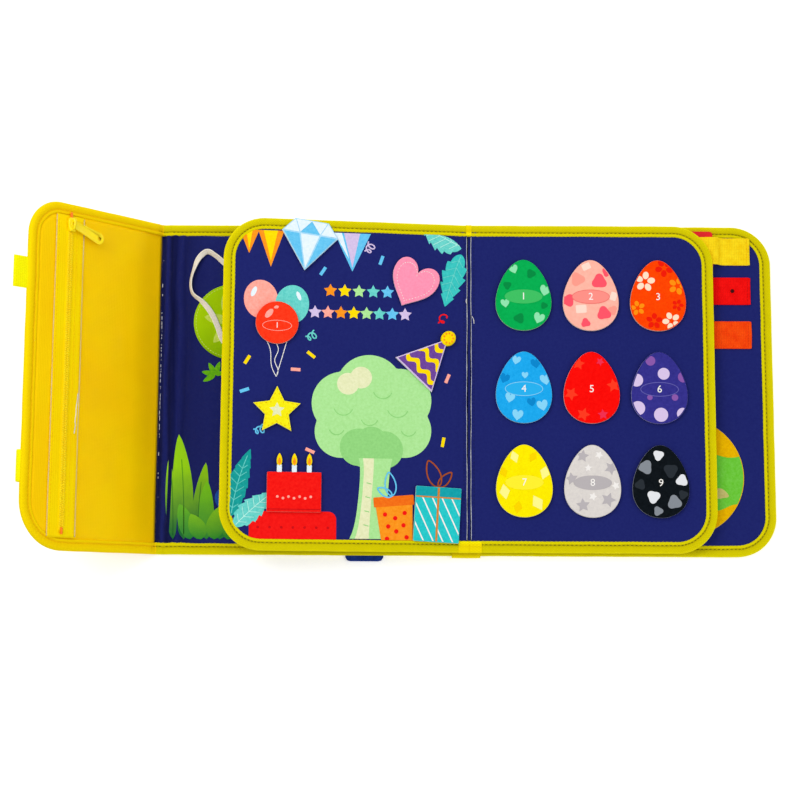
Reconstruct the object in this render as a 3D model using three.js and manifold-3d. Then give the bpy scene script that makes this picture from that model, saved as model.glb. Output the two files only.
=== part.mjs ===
// A fold-out fabric activity case, lying open on its back with its pages and its flap showing.
// Millimetres. X runs across the spread, Y up the page, Z up from the surface that the case lies on.
// The origin is the middle of the spine, on the underside, below the gutter of the two inner leaves.
import * as THREE from 'three';
import { mergeVertices } from 'three/addons/utils/BufferGeometryUtils.js';
import Module from 'manifold-3d';

const wasm = await Module();
wasm.setup();

// Overall sizes
const caseHeight = 310;
const leftCoverWidth = 266.5;
const rightCoverWidth = 261.5;
const spineWidth = 44;
const leafHeight = 305;
const leafWidth = 227;
const gussetDepth = 53;
const flapWidth = 96.5;

// How the case lies in the photograph: the leaf and the flap stand up from the surface
const leafTiltDegrees = 8;
const flapTiltDegrees = 47;

// Sheets, boards and tape
const skin = 1.2;
const boardInCover = 3;
const boardInLeaf = 2;
const bindingWidth = 10.8;
const bindingTape = 0.8;
const coverCornerRadius = 37;
const leafCornerRadius = 38;
const flapCornerRadius = 33;

// Clearances
const layerGap = 0.3;
const foldGap = 0.15;
const rimDrop = 0.1;
const rimLift = 0.4;
const foldSetback = 4.1;
const flapFoldSetback = 5;
const overrun = 5;
const weldStep = 0.1;

// The rim, where both skins are pinched in the folded tape: levels above the underside
const backFlange = 0.9;
const frontFlange = 1.1;
const lipLow = rimLift;
const backFlangeLow = lipLow + bindingTape + layerGap;
const backFlangeTop = backFlangeLow + backFlange;
const frontFlangeLow = backFlangeTop + layerGap;
const frontFlangeTop = frontFlangeLow + frontFlange;
const rimTop = frontFlangeTop + layerGap + bindingTape;
const flangeInset = bindingTape + layerGap;

// Thickness of a cover, a leaf and the flap
const coverThickness = 2 * skin + 2 * layerGap + boardInCover;
const leafThickness = 2 * skin + 2 * layerGap + boardInLeaf;
const flapThickness = rimTop + rimDrop;

// The gutter of the inner leaves, above the spine
const strapRoom = 7.7;
const leafUnderside = coverThickness + strapRoom;
const leafFace = leafUnderside + leafThickness;
const gutterHalfGap = 1.6;
const gutterHeight = 2.9;
const gutterLevel = leafFace + gutterHeight;
const marginWidth = 5.9;
const webThickness = 2.4;
const leafTurnPlace = gutterHalfGap + marginWidth + foldGap;

const circleSteps = 24;
const cornerSteps = 4;

const degrees = Math.PI / 180;

// Solids from closed meshes
function toSolid(geometry) {
  const bare = geometry.clone();
  bare.deleteAttribute('normal');
  bare.deleteAttribute('uv');
  const merged = mergeVertices(bare, 1e-4);
  return new wasm.Manifold(new wasm.Mesh({
    numProp: 3,
    vertProperties: new Float32Array(merged.attributes.position.array),
    triVerts: new Uint32Array(merged.index.array),
  }));
}

function toGeometry(solid) {
  const mesh = solid.getMesh();
  const geometry = new THREE.BufferGeometry();
  geometry.setAttribute('position', new THREE.BufferAttribute(mesh.vertProperties, 3));
  geometry.setIndex(new THREE.BufferAttribute(mesh.triVerts, 1));
  geometry.computeVertexNormals();
  return geometry;
}

// A flat plate of the given outline between two levels
function plate(shape, low, high) {
  const geometry = new THREE.ExtrudeGeometry(shape, {
    depth: high - low,
    bevelEnabled: false,
    curveSegments: cornerSteps,
  });
  geometry.translate(0, 0, low);
  return toSolid(geometry);
}

// A box between two corners
function block(x0, x1, y0, y1, z0, z1) {
  const geometry = new THREE.BoxGeometry(Math.abs(x1 - x0), Math.abs(y1 - y0), Math.abs(z1 - z0));
  geometry.translate((x0 + x1) / 2, (y0 + y1) / 2, (z0 + z1) / 2);
  return toSolid(geometry);
}

// An upright round post or disc
function post(x, y, radius, low, high, steps = circleSteps) {
  const geometry = new THREE.CylinderGeometry(radius, radius, high - low, steps);
  geometry.rotateX(Math.PI / 2);
  geometry.translate(x, y, (low + high) / 2);
  return toSolid(geometry);
}

function join(...solids) {
  return solids.reduce((sum, next) => sum.add(next));
}

// An outline from a straight near side to a far side with two round corners
function outline(near, far, half, radius) {
  const side = Math.sign(far - near);
  const shape = new THREE.Shape();
  shape.moveTo(near, -half);
  if (radius > 0) {
    const across = far - side * radius;
    const farAngle = side > 0 ? 0 : Math.PI;
    const bottomAngle = side > 0 ? -Math.PI / 2 : 3 * Math.PI / 2;
    shape.lineTo(across, -half);
    shape.absarc(across, -half + radius, radius, bottomAngle, farAngle, side < 0);
    shape.lineTo(far, half - radius);
    shape.absarc(across, half - radius, radius, farAngle, Math.PI / 2, side < 0);
  } else {
    shape.lineTo(far, -half);
    shape.lineTo(far, half);
  }
  shape.lineTo(near, half);
  shape.closePath();
  return shape;
}

// One stiffened panel: it runs from a fold at near to far, which is a bound edge or a second fold
function insetOutline(panel, inset, nearShift, farShift = 0) {
  const side = Math.sign(panel.far - panel.near);
  const farInset = panel.farIsFold ? farShift : inset;
  const radius = panel.farIsFold ? 0 : Math.max(panel.radius - inset, 0);
  return outline(panel.near + side * nearShift, panel.far - side * farInset, panel.half - inset, radius);
}

function ringCut(panel, inset) {
  return plate(insetOutline(panel, inset, -overrun, -overrun), -overrun, panel.thickness + overrun);
}

// A skin's rim: a wall that meets the base skin and a flange that runs out into the binding.
// The wall stands a weld step inside the base's edge, and ends inside the base and the flange.
function skinRim(panel, baseMiddle, flangeLow, flangeTop) {
  const setback = panel.setback;
  const flangeMiddle = (flangeLow + flangeTop) / 2;
  const wallInset = bindingWidth + layerGap + weldStep;
  const wallShape = insetOutline(panel, wallInset, setback + weldStep, setback + weldStep);
  const wallEnds = [baseMiddle, flangeMiddle].sort((low, high) => low - high);
  const wall = plate(wallShape, ...wallEnds);
  const flange = plate(insetOutline(panel, flangeInset, setback, setback), flangeLow, flangeTop);
  return wall.add(flange).subtract(ringCut(panel, bindingWidth + layerGap + skin));
}

// The skin under the board, flat below, with its rim lifted into the binding
function backSkin(panel) {
  const base = plate(insetOutline(panel, bindingWidth + layerGap, 0), 0, skin);
  return base.add(skinRim(panel, skin / 2, backFlangeLow, backFlangeTop));
}

function board(panel) {
  const setback = panel.setback + skin;
  const inset = bindingWidth + 2 * layerGap + skin;
  const shape = insetOutline(panel, inset, setback, setback);
  return plate(shape, skin + layerGap, panel.thickness - skin - layerGap);
}

// The page over the board, with its rim drawn down into the binding
function frontSkin(panel) {
  const setback = panel.setback;
  const top = panel.thickness;
  const base = plate(insetOutline(panel, bindingWidth + layerGap, setback, setback), top - skin, top);
  return base.add(skinRim(panel, top - skin / 2, frontFlangeLow, frontFlangeTop));
}

// Folded tape round the three bound sides
function binding(panel) {
  const whole = plate(insetOutline(panel, 0, panel.setback), lipLow, rimTop);
  const middle = ringCut(panel, bindingWidth);
  const grooveShape = insetOutline(panel, bindingTape, -overrun);
  const groove = plate(grooveShape, lipLow + bindingTape, rimTop - bindingTape);
  return whole.subtract(middle).subtract(groove);
}

// Folded tape along one straight edge: side is 1 at the top and -1 at the bottom
function edgeBinding(x0, x1, side) {
  const outer = side * caseHeight / 2;
  const inner = outer - side * bindingWidth;
  const whole = block(x0, x1, outer, inner, lipLow, rimTop);
  const low = lipLow + bindingTape;
  const high = rimTop - bindingTape;
  const grooveEnd = outer - side * bindingTape;
  const groove = block(x0 - overrun, x1 + overrun, grooveEnd, inner - side * overrun, low, high);
  return whole.subtract(groove);
}

// Materials, one for each cloth, felt, tape and plastic
function cloth(color, roughness = 0.9) {
  return new THREE.MeshStandardMaterial({ color, roughness, metalness: 0 });
}

const navyFelt = cloth(0x1f2668);
const navyCloth = cloth(0x1b2058);
const greyBoard = cloth(0x8d8a84);
const bindingYellow = cloth(0xd8cc00);
const flapYellow = cloth(0xf9cd00, 0.75);
const webbingYellow = cloth(0xffdc1e);
const webbingRed = cloth(0xf00808);
const webbingOrange = cloth(0xff4500);
const buckleRed = cloth(0xd80010, 0.4);
const laceWhite = cloth(0xe8dfd2);
const patchLime = cloth(0x9bc400);
const patchOrange = cloth(0xff6a10);
const tabBlue = cloth(0x17358a);
const zipYellow = cloth(0xe8b800, 0.6);
const pullYellow = cloth(0xf2c400, 0.35);
const film = new THREE.MeshStandardMaterial({
  color: 0xf4ecc8,
  roughness: 0.1,
  metalness: 0,
  transparent: true,
  opacity: 0.35,
});

const model = new THREE.Group();

function place(parent, name, solid, material) {
  const mesh = new THREE.Mesh(toGeometry(solid), material);
  mesh.name = name;
  parent.add(mesh);
  return mesh;
}

// A group that turns about a line along Y through x, z
function turnedGroup(parent, x, z, angle) {
  const pivot = new THREE.Group();
  pivot.position.set(x, 0, z);
  pivot.rotation.y = angle;
  const inside = new THREE.Group();
  inside.position.set(-x, 0, -z);
  pivot.add(inside);
  parent.add(pivot);
  return inside;
}

// Left cover: the root of the case
const leftFold = -spineWidth / 2;
const flapFold = leftFold - leftCoverWidth;
const leftCover = {
  near: leftFold - foldGap,
  far: flapFold + foldGap,
  farIsFold: true,
  half: caseHeight / 2,
  radius: 0,
  thickness: coverThickness,
  setback: flapFoldSetback,
};

function addLeftCover() {
  place(model, 'left_cover_shell', backSkin(leftCover), navyCloth);
  place(model, 'left_cover_board', board(leftCover), greyBoard);
  place(model, 'left_page', frontSkin(leftCover), navyFelt);
  const x0 = leftCover.far + leftCover.setback;
  const x1 = leftCover.near - leftCover.setback;
  place(model, 'left_binding_top', edgeBinding(x0, x1, 1), bindingYellow);
  place(model, 'left_binding_bottom', edgeBinding(x0, x1, -1), bindingYellow);
}

// The round patch and the lace on the left page
const patchThickness = 1.5;
const pageTop = coverThickness + layerGap;
const leftPatchFromFold = 67.1;
const leftPatchFromTop = 93.2;
const leftPatchX = flapFold + leftPatchFromFold;
const leftPatchY = caseHeight / 2 - leftPatchFromTop;
const leftPatchRadius = 35.6;
const laceWidth = 7;
const laceThickness = 1.4;
const laceLow = pageTop + patchThickness + layerGap;
const laceStripX = -206;
const laceStripWidth = 8;
const laceStripOverhang = 5;

// The lace's route in plan, read from the photograph, from one end to the other
const laceRoute = [
  [-206.3, 106], [-212, 106], [-219, 110.5], [-229, 117.2], [-237, 124], [-245.3, 128.4],
  [-252.7, 122.8], [-257.5, 112], [-260.5, 99], [-258.5, 88.5], [-249, 80.2], [-240.3, 69.4],
  [-234.4, 57], [-229.5, 44.5], [-221, 35.5], [-212, 33], [-206.3, 33],
];
const laceSteps = 64;

function laceSolid() {
  const level = laceLow + laceThickness / 2;
  const points = laceRoute.map(([x, y]) => new THREE.Vector3(x, y, level));
  const path = new THREE.CatmullRomCurve3(points, false, 'centripetal');
  const bevelShare = 0.3;
  const w = laceThickness / 2;
  const h = laceWidth / 2;
  const c = bevelShare * laceThickness;
  const section = new THREE.Shape([
    new THREE.Vector2(-w + c, -h), new THREE.Vector2(w - c, -h),
    new THREE.Vector2(w, -h + c), new THREE.Vector2(w, h - c),
    new THREE.Vector2(w - c, h), new THREE.Vector2(-w + c, h),
    new THREE.Vector2(-w, h - c), new THREE.Vector2(-w, -h + c),
  ]);
  return toSolid(new THREE.ExtrudeGeometry(section, { steps: laceSteps, extrudePath: path }));
}

function addLeftPageTrim() {
  const top = pageTop + patchThickness;
  place(model, 'left_page_patch', post(leftPatchX, leftPatchY, leftPatchRadius, pageTop, top, 32), patchLime);
  const ends = [laceRoute[0], laceRoute[laceRoute.length - 1]];
  const stripTop = ends[0][1] + laceWidth / 2 + laceStripOverhang;
  const stripBottom = ends[1][1] - laceWidth / 2 - laceStripOverhang;
  const stripHigh = laceLow + laceThickness;
  const strip = block(laceStripX, laceStripX + laceStripWidth, stripBottom, stripTop, laceLow, stripHigh);
  place(model, 'lace_anchor', strip, tabBlue);
  place(model, 'lace', laceSolid(), laceWhite);
}

// A small rounded tab on the lower edge
const sideTabFromSpine = 74;
const sideTabWidth = 35;
const sideTabReach = 7;
const sideTabThickness = 2.4;
const sideTabCorner = 5;

function addSideTab() {
  const shape = new THREE.Shape();
  const half = sideTabWidth / 2;
  const cornerX = half - sideTabCorner;
  const cornerY = sideTabCorner - sideTabReach;
  shape.moveTo(-half, 0);
  shape.absarc(-cornerX, cornerY, sideTabCorner, Math.PI, 1.5 * Math.PI);
  shape.absarc(cornerX, cornerY, sideTabCorner, -Math.PI / 2, 0);
  shape.lineTo(half, 0);
  const solid = plate(shape, lipLow, lipLow + sideTabThickness);
  const x = leftFold - sideTabFromSpine;
  place(model, 'side_tab', solid.translate([x, -caseHeight / 2 - layerGap, 0]), tabBlue);
}

// Spine: one skin with bound edges and a standing web that carries the gutter of the inner leaves
function addSpine() {
  const x1 = spineWidth / 2 - foldGap;
  const half = caseHeight / 2;
  const innerHalf = half - bindingWidth;
  const base = block(-x1, x1, -innerHalf, innerHalf, 0, skin);
  const bound = x1 - foldSetback;
  const edges = [1, -1].map((side) => {
    return block(-bound, bound, side * half, side * (innerHalf - skin), 0, rimTop);
  });
  const webHalf = leafHeight / 2 - bindingWidth - layerGap;
  const web = block(-webThickness / 2, webThickness / 2, -webHalf, webHalf, 0, leafFace);
  place(model, 'spine_panel', join(base, ...edges, web), navyCloth);
}

// Right cover
const rightFold = spineWidth / 2;
const rightCover = {
  near: rightFold + foldGap,
  far: rightFold + rightCoverWidth,
  farIsFold: false,
  half: caseHeight / 2,
  radius: coverCornerRadius,
  thickness: coverThickness,
  setback: foldSetback,
};

function addRightCover() {
  place(model, 'right_cover_shell', backSkin(rightCover), navyCloth);
  place(model, 'right_cover_board', board(rightCover), greyBoard);
  place(model, 'right_page', frontSkin(rightCover), navyFelt);
  place(model, 'right_cover_binding', binding(rightCover), bindingYellow);
}

// Webbing straps, a side-release buckle and a round patch on the right page
const webbingWidth = 26;
const webbingThickness = 1.6;
const strapPitch = 39.6;
const strapFromTop = 24.4;
const yellowStrapY = caseHeight / 2 - strapFromTop;
const redStrapRise = 2;
const redBeltY = yellowStrapY - strapPitch + redStrapRise;
const orangeStrapY = yellowStrapY - 2 * strapPitch;
const strapSetback = 20;
const strapEnd = rightCover.far - strapSetback;
const strapLength = 113.5;
const beltHoleSetback = 17;
const beltHoleRadius = 2.3;
const rightPatchFromEdge = 84.3;
const rightPatchFromBottom = 73.5;
const rightPatchRadius = 54.5;

const shortStrapLength = 35.2;
const socketEnd = strapEnd - shortStrapLength - layerGap;
const socketLength = 28;
const socketWidth = 36;
const socketHeight = 6.7;
const socketCorner = 3;
const cavityDepth = 22;
const cavityWidth = 29;
const cavityHeight = 3.3;
const windowLength = 10;
const windowSetback = 6;
const clipBase = 15;
const clipWidth = 34;
const clipHeight = 5.5;
const prongHeight = 2.7;
const prongWidth = 5.3;
const prongReach = 18;
const tongueWidth = 6;
const clipStrapLength = 64.4;

function strap(x0, x1, y) {
  return block(x0, x1, y - webbingWidth / 2, y + webbingWidth / 2, pageTop, pageTop + webbingThickness);
}

function addStraps() {
  place(model, 'yellow_strap_outer', strap(socketEnd + layerGap, strapEnd, yellowStrapY), webbingYellow);
  const low = pageTop - overrun;
  const high = pageTop + webbingThickness + overrun;
  const hole = post(strapEnd - beltHoleSetback, redBeltY, beltHoleRadius, low, high, 12);
  const start = strapEnd - strapLength;
  place(model, 'red_belt', strap(start, strapEnd, redBeltY).subtract(hole), webbingRed);
  place(model, 'orange_strap', strap(start, strapEnd, orangeStrapY), webbingOrange);
  const x = rightCover.far - rightPatchFromEdge;
  const y = rightPatchFromBottom - caseHeight / 2;
  const patch = post(x, y, rightPatchRadius, pageTop, pageTop + patchThickness, 40);
  place(model, 'right_page_patch', patch, patchOrange);
}

function addBuckle() {
  const mouth = socketEnd - socketLength;
  const middle = pageTop + socketHeight / 2;
  const y = yellowStrapY;
  const shape = outline(mouth, socketEnd, socketWidth / 2, socketCorner);
  const shell = plate(shape, pageTop, pageTop + socketHeight).translate([0, y, 0]);
  const low = middle - cavityHeight / 2;
  const high = middle + cavityHeight / 2;
  const cavityHalf = cavityWidth / 2;
  const cavity = block(mouth - overrun, mouth + cavityDepth, y - cavityHalf, y + cavityHalf, low, high);
  const windowStart = mouth + windowSetback;
  const windows = block(windowStart, windowStart + windowLength, y - socketWidth, y + socketWidth, low, high);
  place(model, 'buckle_socket', shell.subtract(cavity).subtract(windows), buckleRed);

  const baseEnd = mouth - layerGap;
  const baseLow = middle - clipHeight / 2;
  const baseShape = outline(baseEnd, baseEnd - clipBase, clipWidth / 2, socketCorner);
  const base = plate(baseShape, baseLow, baseLow + clipHeight);
  const prong = (y0, y1) => {
    const prongLow = middle - prongHeight / 2;
    return block(baseEnd - layerGap, mouth + prongReach, y0, y1, prongLow, prongLow + prongHeight);
  };
  const prongEdge = cavityHalf - layerGap;
  const sides = [1, -1].map((side) => prong(side * (prongEdge - prongWidth), side * prongEdge));
  const tongue = prong(-tongueWidth / 2, tongueWidth / 2);
  place(model, 'buckle_clip', join(base, ...sides, tongue).translate([0, y, 0]), buckleRed);
  const strapTip = baseEnd - clipBase - layerGap;
  place(model, 'yellow_strap_inner', strap(strapTip - clipStrapLength, strapTip, y), webbingYellow);
}

// Inner leaves, built flat; the left one is then turned up about the gutter
function leafPanel(side) {
  return {
    near: side * (leafTurnPlace + foldGap),
    far: side * leafWidth,
    farIsFold: false,
    half: leafHeight / 2,
    radius: leafCornerRadius,
    thickness: leafThickness,
    setback: 0,
  };
}

function addLeaf(parent, word, side) {
  const panel = leafPanel(side);
  const raised = new THREE.Group();
  raised.position.z = leafUnderside;
  parent.add(raised);
  place(raised, `${word}_leaf_back`, backSkin(panel), navyFelt);
  place(raised, `${word}_leaf_board`, board(panel), greyBoard);
  place(raised, `${word}_leaf_page`, frontSkin(panel), navyFelt);
  place(raised, `${word}_leaf_binding`, binding(panel), bindingYellow);
  const marginHalf = leafHeight / 2 - bindingWidth - layerGap;
  const x0 = side * gutterHalfGap;
  const x1 = side * (gutterHalfGap + marginWidth);
  const margin = block(x0, x1, -marginHalf, marginHalf, leafThickness - skin, leafThickness);
  place(raised, `${word}_gutter_margin`, margin, navyFelt);
}

const leftLeafGroup = turnedGroup(model, -gutterHalfGap, gutterLevel, leafTiltDegrees * degrees);
const rightLeafGroup = new THREE.Group();
model.add(rightLeafGroup);

// Felt pieces that lift off: a felt shape on a smaller pad of hook tape
const feltThickness = 2.7;
const hookThickness = 0.8;
const hookLow = leafFace + layerGap;
const feltLow = hookLow + hookThickness;
const feltTop = feltLow + feltThickness;

function feltPiece(shape, padRadius, x, y) {
  const pad = post(x, y, padRadius, hookLow, feltLow + layerGap, 12);
  return plate(shape, feltLow, feltTop).translate([x, y, 0]).add(pad);
}

// An egg: an ellipse that is wider below its middle
const eggWidth = 50.4;
const eggHeight = 66.6;
const eggTaperShare = 0.24;
const eggPadRadius = 14;
const eggPitchX = 62.3;
const eggPitchY = 86.3;
const eggFirstX = 50.1;
const eggFromTop = 66.9;
const eggFirstY = leafHeight / 2 - eggFromTop;
const eggSteps = 30;
const eggNames = [
  'egg_green', 'egg_pink', 'egg_orange',
  'egg_blue', 'egg_red', 'egg_purple',
  'egg_yellow', 'egg_white', 'egg_black',
];
const eggColors = [
  0x00aa4f, 0xff8f86, 0xff4800,
  0x18a8f0, 0xff1208, 0x3a3590,
  0xffea00, 0xdad2ce, 0x10161c,
];

function eggShape() {
  const shape = new THREE.Shape();
  for (let i = 0; i < eggSteps; i += 1) {
    const t = 2 * Math.PI * i / eggSteps;
    const x = eggWidth / 2 * Math.cos(t) * (1 - eggTaperShare * Math.sin(t));
    const y = eggHeight / 2 * Math.sin(t);
    if (i === 0) {
      shape.moveTo(x, y);
    } else {
      shape.lineTo(x, y);
    }
  }
  shape.closePath();
  return shape;
}

function addEggs() {
  eggNames.forEach((name, i) => {
    const x = eggFirstX + (i % 3) * eggPitchX;
    const y = eggFirstY - Math.floor(i / 3) * eggPitchY;
    place(rightLeafGroup, name, feltPiece(eggShape(), eggPadRadius, x, y), cloth(eggColors[i]));
  });
}

// Shapes on the left leaf
const balloonFromEdge = 49.4;
const balloonX = balloonFromEdge - leafWidth;
const balloonFromTop = 98.2;
const balloonY = leafHeight / 2 - balloonFromTop;
const balloonRadius = 19.5;
const starFromEdge = 50.4;
const starX = starFromEdge - leafWidth;
const starFromBottom = 126;
const starY = starFromBottom - leafHeight / 2;
const starRadius = 22.6;
const starWaistShare = 0.5;
const heartX = -53.5;
const heartFromTop = 59;
const heartY = leafHeight / 2 - heartFromTop;
const heartWidth = 44;
const heartHeight = 44;
const heartTurnDegrees = -26;
const gemFromEdge = 77;
const gemX = gemFromEdge - leafWidth;
const gemFromTop = 25.5;
const gemY = leafHeight / 2 - gemFromTop;
const gemWidth = 52;
const gemHeight = 47;
const gemTurnDegrees = -8;
const hatX = -36;
const hatFromTop = 126;
const hatY = leafHeight / 2 - hatFromTop;
const hatSide = 52;
const hatBase = 46;
const hatTurnDegrees = -43;
const pompomRadius = 7;
const giftX = -29.6;
const giftFromBottom = 34.1;
const giftY = giftFromBottom - leafHeight / 2;
const giftWidth = 42;
const giftHeight = 50;
const giftTurnDegrees = -3;
const cakeFromEdge = 66.9;
const cakeX = cakeFromEdge - leafWidth;
const cakeFromBottom = 52.7;
const cakeY = cakeFromBottom - leafHeight / 2;
const cakeWidth = 49;
const cakeHeight = 36;
const candleWidth = 4.5;
const candleHeight = 15;
const candlePitch = 13.5;
const smallPadRadius = 9;

function polygon(points) {
  return new THREE.Shape(points.map(([x, y]) => new THREE.Vector2(x, y)));
}

function turned(solid, angle, x, y) {
  return solid.rotate([0, 0, angle]).translate([x, y, 0]);
}

function padded(flat) {
  return flat.add(post(0, 0, smallPadRadius, hookLow, feltLow + layerGap, 12));
}

function starShape() {
  const points = [];
  for (let i = 0; i < 10; i += 1) {
    const r = i % 2 ? starRadius * starWaistShare : starRadius;
    const t = Math.PI / 2 + i * Math.PI / 5;
    points.push([r * Math.cos(t), r * Math.sin(t)]);
  }
  return polygon(points);
}

// A heart from two curves a side: a side curve up from the tip, then a lobe over to the dip
function heartShape() {
  const w = heartWidth / 2;
  const h = heartHeight / 2;
  const tipShare = [0.35, -0.6];
  const sideShare = [1, -0.25];
  const shoulderShare = 0.42;
  const lobeShare = [0.18, 1.18];
  const dipShare = 0.55;
  const shape = new THREE.Shape();
  const lobeY = h * lobeShare[1];
  shape.moveTo(0, -h);
  shape.bezierCurveTo(w * tipShare[0], h * tipShare[1], w, h * sideShare[1], w, h * shoulderShare);
  shape.bezierCurveTo(w, lobeY, w * lobeShare[0], lobeY, 0, h * dipShare);
  shape.bezierCurveTo(-w * lobeShare[0], lobeY, -w, lobeY, -w, h * shoulderShare);
  shape.bezierCurveTo(-w, h * sideShare[1], -w * tipShare[0], h * tipShare[1], 0, -h);
  return shape;
}

// A cut stone: a table, two shoulders and a point
function gemShape() {
  const w = gemWidth / 2;
  const h = gemHeight / 2;
  const tableShare = 0.6;
  const girdleShare = 0.45;
  return polygon([
    [0, -h], [w, h * girdleShare], [w * tableShare, h], [-w * tableShare, h], [-w, h * girdleShare],
  ]);
}

function hatSolid() {
  const height = Math.sqrt(hatSide ** 2 - (hatBase / 2) ** 2);
  const cone = plate(polygon([
    [-hatBase / 2, -height / 2], [hatBase / 2, -height / 2], [0, height / 2],
  ]), feltLow, feltTop);
  return cone.add(post(0, height / 2, pompomRadius, feltLow, feltTop, 16));
}

function cakeSolid() {
  const half = cakeWidth / 2;
  const top = cakeHeight / 2;
  const slab = block(-half, half, -top, top, feltLow, feltTop);
  const candles = [-1, 0, 1].map((i) => {
    const x = i * candlePitch;
    const wide = candleWidth / 2;
    return block(x - wide, x + wide, top - layerGap, top + candleHeight, feltLow, feltTop);
  });
  return join(slab, ...candles);
}

function addFeltPieces() {
  const flat = (shape) => plate(shape, feltLow, feltTop);
  const disc = post(0, 0, balloonRadius, feltLow, feltTop);
  const gift = flat(outline(-giftWidth / 2, giftWidth / 2, giftHeight / 2, 0));
  const pieces = [
    ['felt_circle', disc, 0, balloonX, balloonY, 0xff3a10],
    ['felt_star', flat(starShape()), 0, starX, starY, 0xffd800],
    ['felt_heart', flat(heartShape()), heartTurnDegrees, heartX, heartY, 0xff90af],
    ['felt_gem', flat(gemShape()), gemTurnDegrees, gemX, gemY, 0xa8dcf4],
    ['felt_hat', hatSolid(), hatTurnDegrees, hatX, hatY, 0x7a4a9a],
    ['felt_gift', gift, giftTurnDegrees, giftX, giftY, 0x20c8c8],
    ['felt_cake', cakeSolid(), 0, cakeX, cakeY, 0xf01818],
  ];
  pieces.forEach(([name, solid, angle, x, y, color]) => {
    place(leftLeafGroup, name, turned(padded(solid), angle, x, y), cloth(color));
  });
}

// Gusset and flap, built flat and then turned up about the flap's fold
const flapGroup = turnedGroup(model, flapFold, skin, flapTiltDegrees * degrees);
const gussetFold = flapFold - gussetDepth;
const filmThickness = 0.4;
const flapPanel = {
  near: gussetFold - foldGap,
  far: gussetFold - flapWidth,
  farIsFold: false,
  half: caseHeight / 2,
  radius: flapCornerRadius,
  thickness: flapThickness,
  setback: flapFoldSetback,
};

function addGusset() {
  const x0 = gussetFold + foldGap;
  const x1 = flapFold - foldGap;
  const innerHalf = caseHeight / 2 - bindingWidth;
  const base = block(x0, x1, -innerHalf, innerHalf, 0, skin);
  const bound0 = x0 + flapFoldSetback;
  const bound1 = x1 - flapFoldSetback;
  const edges = [1, -1].map((side) => {
    const outer = side * caseHeight / 2;
    return block(bound0, bound1, outer, side * (innerHalf - skin), 0, rimTop);
  });
  place(flapGroup, 'gusset_panel', join(base, ...edges), flapYellow);
  const filmLow = rimTop + layerGap;
  const filmHalf = caseHeight / 2 - bindingTape;
  const pane = block(bound0, bound1, -filmHalf, filmHalf, filmLow, filmLow + filmThickness);
  place(flapGroup, 'gusset_window', pane, film);
}

// The zip across the flap: tape, chain, slider and pull, with a clear window sewn to its tape
const zipTapeWidth = 28;
const zipTapeThickness = 0.8;
const zipPlace = 108;
const chainWidth = 5;
const chainHeight = 1.8;
const chainFromTop = 13;
const chainFromBottom = 19;
const chainTop = caseHeight / 2 - chainFromTop;
const chainBottom = chainFromBottom - caseHeight / 2;
const sliderFromEnd = 7;
const sliderY = chainTop - sliderFromEnd;
const sliderWidth = 9;
const sliderLength = 12;
const sliderPlate = 1.5;
const cheekWidth = 1.2;
const lugRadius = 1.5;
const lugHeadRadius = 2.6;
const lugHead = 0.8;
const pullThickness = 1.4;
const pullWidth = 9;
const pullLength = 34;
const pullEyeRadius = 2;
const pullHoleRadius = 1.8;
const pullHoleSetback = 4.5;
const pullCorner = 4.1;
const pullTurnDegrees = -17;

function addFlap() {
  place(flapGroup, 'flap_shell', backSkin(flapPanel), flapYellow);
  place(flapGroup, 'flap_lining', frontSkin(flapPanel), flapYellow);
  place(flapGroup, 'flap_binding', binding(flapPanel), bindingYellow);
  const level = flapThickness + layerGap;
  const innerHalf = caseHeight / 2 - bindingWidth - 2 * layerGap;
  const zipX = flapFold - zipPlace;
  const tapeEdge = zipX + zipTapeWidth / 2;
  const windowEdge = gussetFold - flapFoldSetback;
  const tapeLow = zipX - zipTapeWidth / 2;
  const tape = block(tapeLow, tapeEdge, -innerHalf, innerHalf, level, level + zipTapeThickness);
  const pane = block(tapeEdge + layerGap, windowEdge, -innerHalf, innerHalf, level, level + filmThickness);
  place(flapGroup, 'zip_tape', tape, zipYellow);
  place(flapGroup, 'pocket_window', pane, film);
}

function addZip() {
  const zipX = flapFold - zipPlace;
  const chainLow = flapThickness + layerGap + zipTapeThickness + layerGap;
  const chainHigh = chainLow + chainHeight;
  const chainHalf = chainWidth / 2;
  const chain = block(zipX - chainHalf, zipX + chainHalf, chainBottom, chainTop, chainLow, chainHigh);
  place(flapGroup, 'zip_chain', chain, zipYellow);

  const plateLow = chainHigh + layerGap;
  const plateTop = plateLow + sliderPlate;
  const y0 = sliderY - sliderLength / 2;
  const y1 = sliderY + sliderLength / 2;
  const halfWidth = sliderWidth / 2;
  const top = block(zipX - halfWidth, zipX + halfWidth, y0, y1, plateLow, plateTop);
  const cheeks = [1, -1].map((side) => {
    const outer = zipX + side * halfWidth;
    return block(outer - side * cheekWidth, outer, y0, y1, chainLow, plateTop);
  });
  const headLow = plateTop + layerGap + pullThickness + layerGap;
  const lug = post(zipX, sliderY, lugRadius, plateTop - layerGap, headLow + lugHead, 12);
  const head = post(zipX, sliderY, lugHeadRadius, headLow, headLow + lugHead, 16);
  place(flapGroup, 'zip_slider', join(top, ...cheeks, lug, head), pullYellow);

  const low = plateTop + layerGap;
  const high = low + pullThickness;
  const eyeEnd = -pullWidth / 2;
  const body = plate(outline(eyeEnd, eyeEnd + pullLength, pullWidth / 2, pullCorner), low, high);
  const eye = post(0, 0, pullEyeRadius, low - overrun, high + overrun, 16);
  const holeX = eyeEnd + pullLength - pullHoleSetback;
  const hole = post(holeX, 0, pullHoleRadius, low - overrun, high + overrun, 12);
  const pull = turned(body.subtract(eye).subtract(hole), pullTurnDegrees, zipX, sliderY);
  place(flapGroup, 'zip_pull', pull, pullYellow);
}

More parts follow.
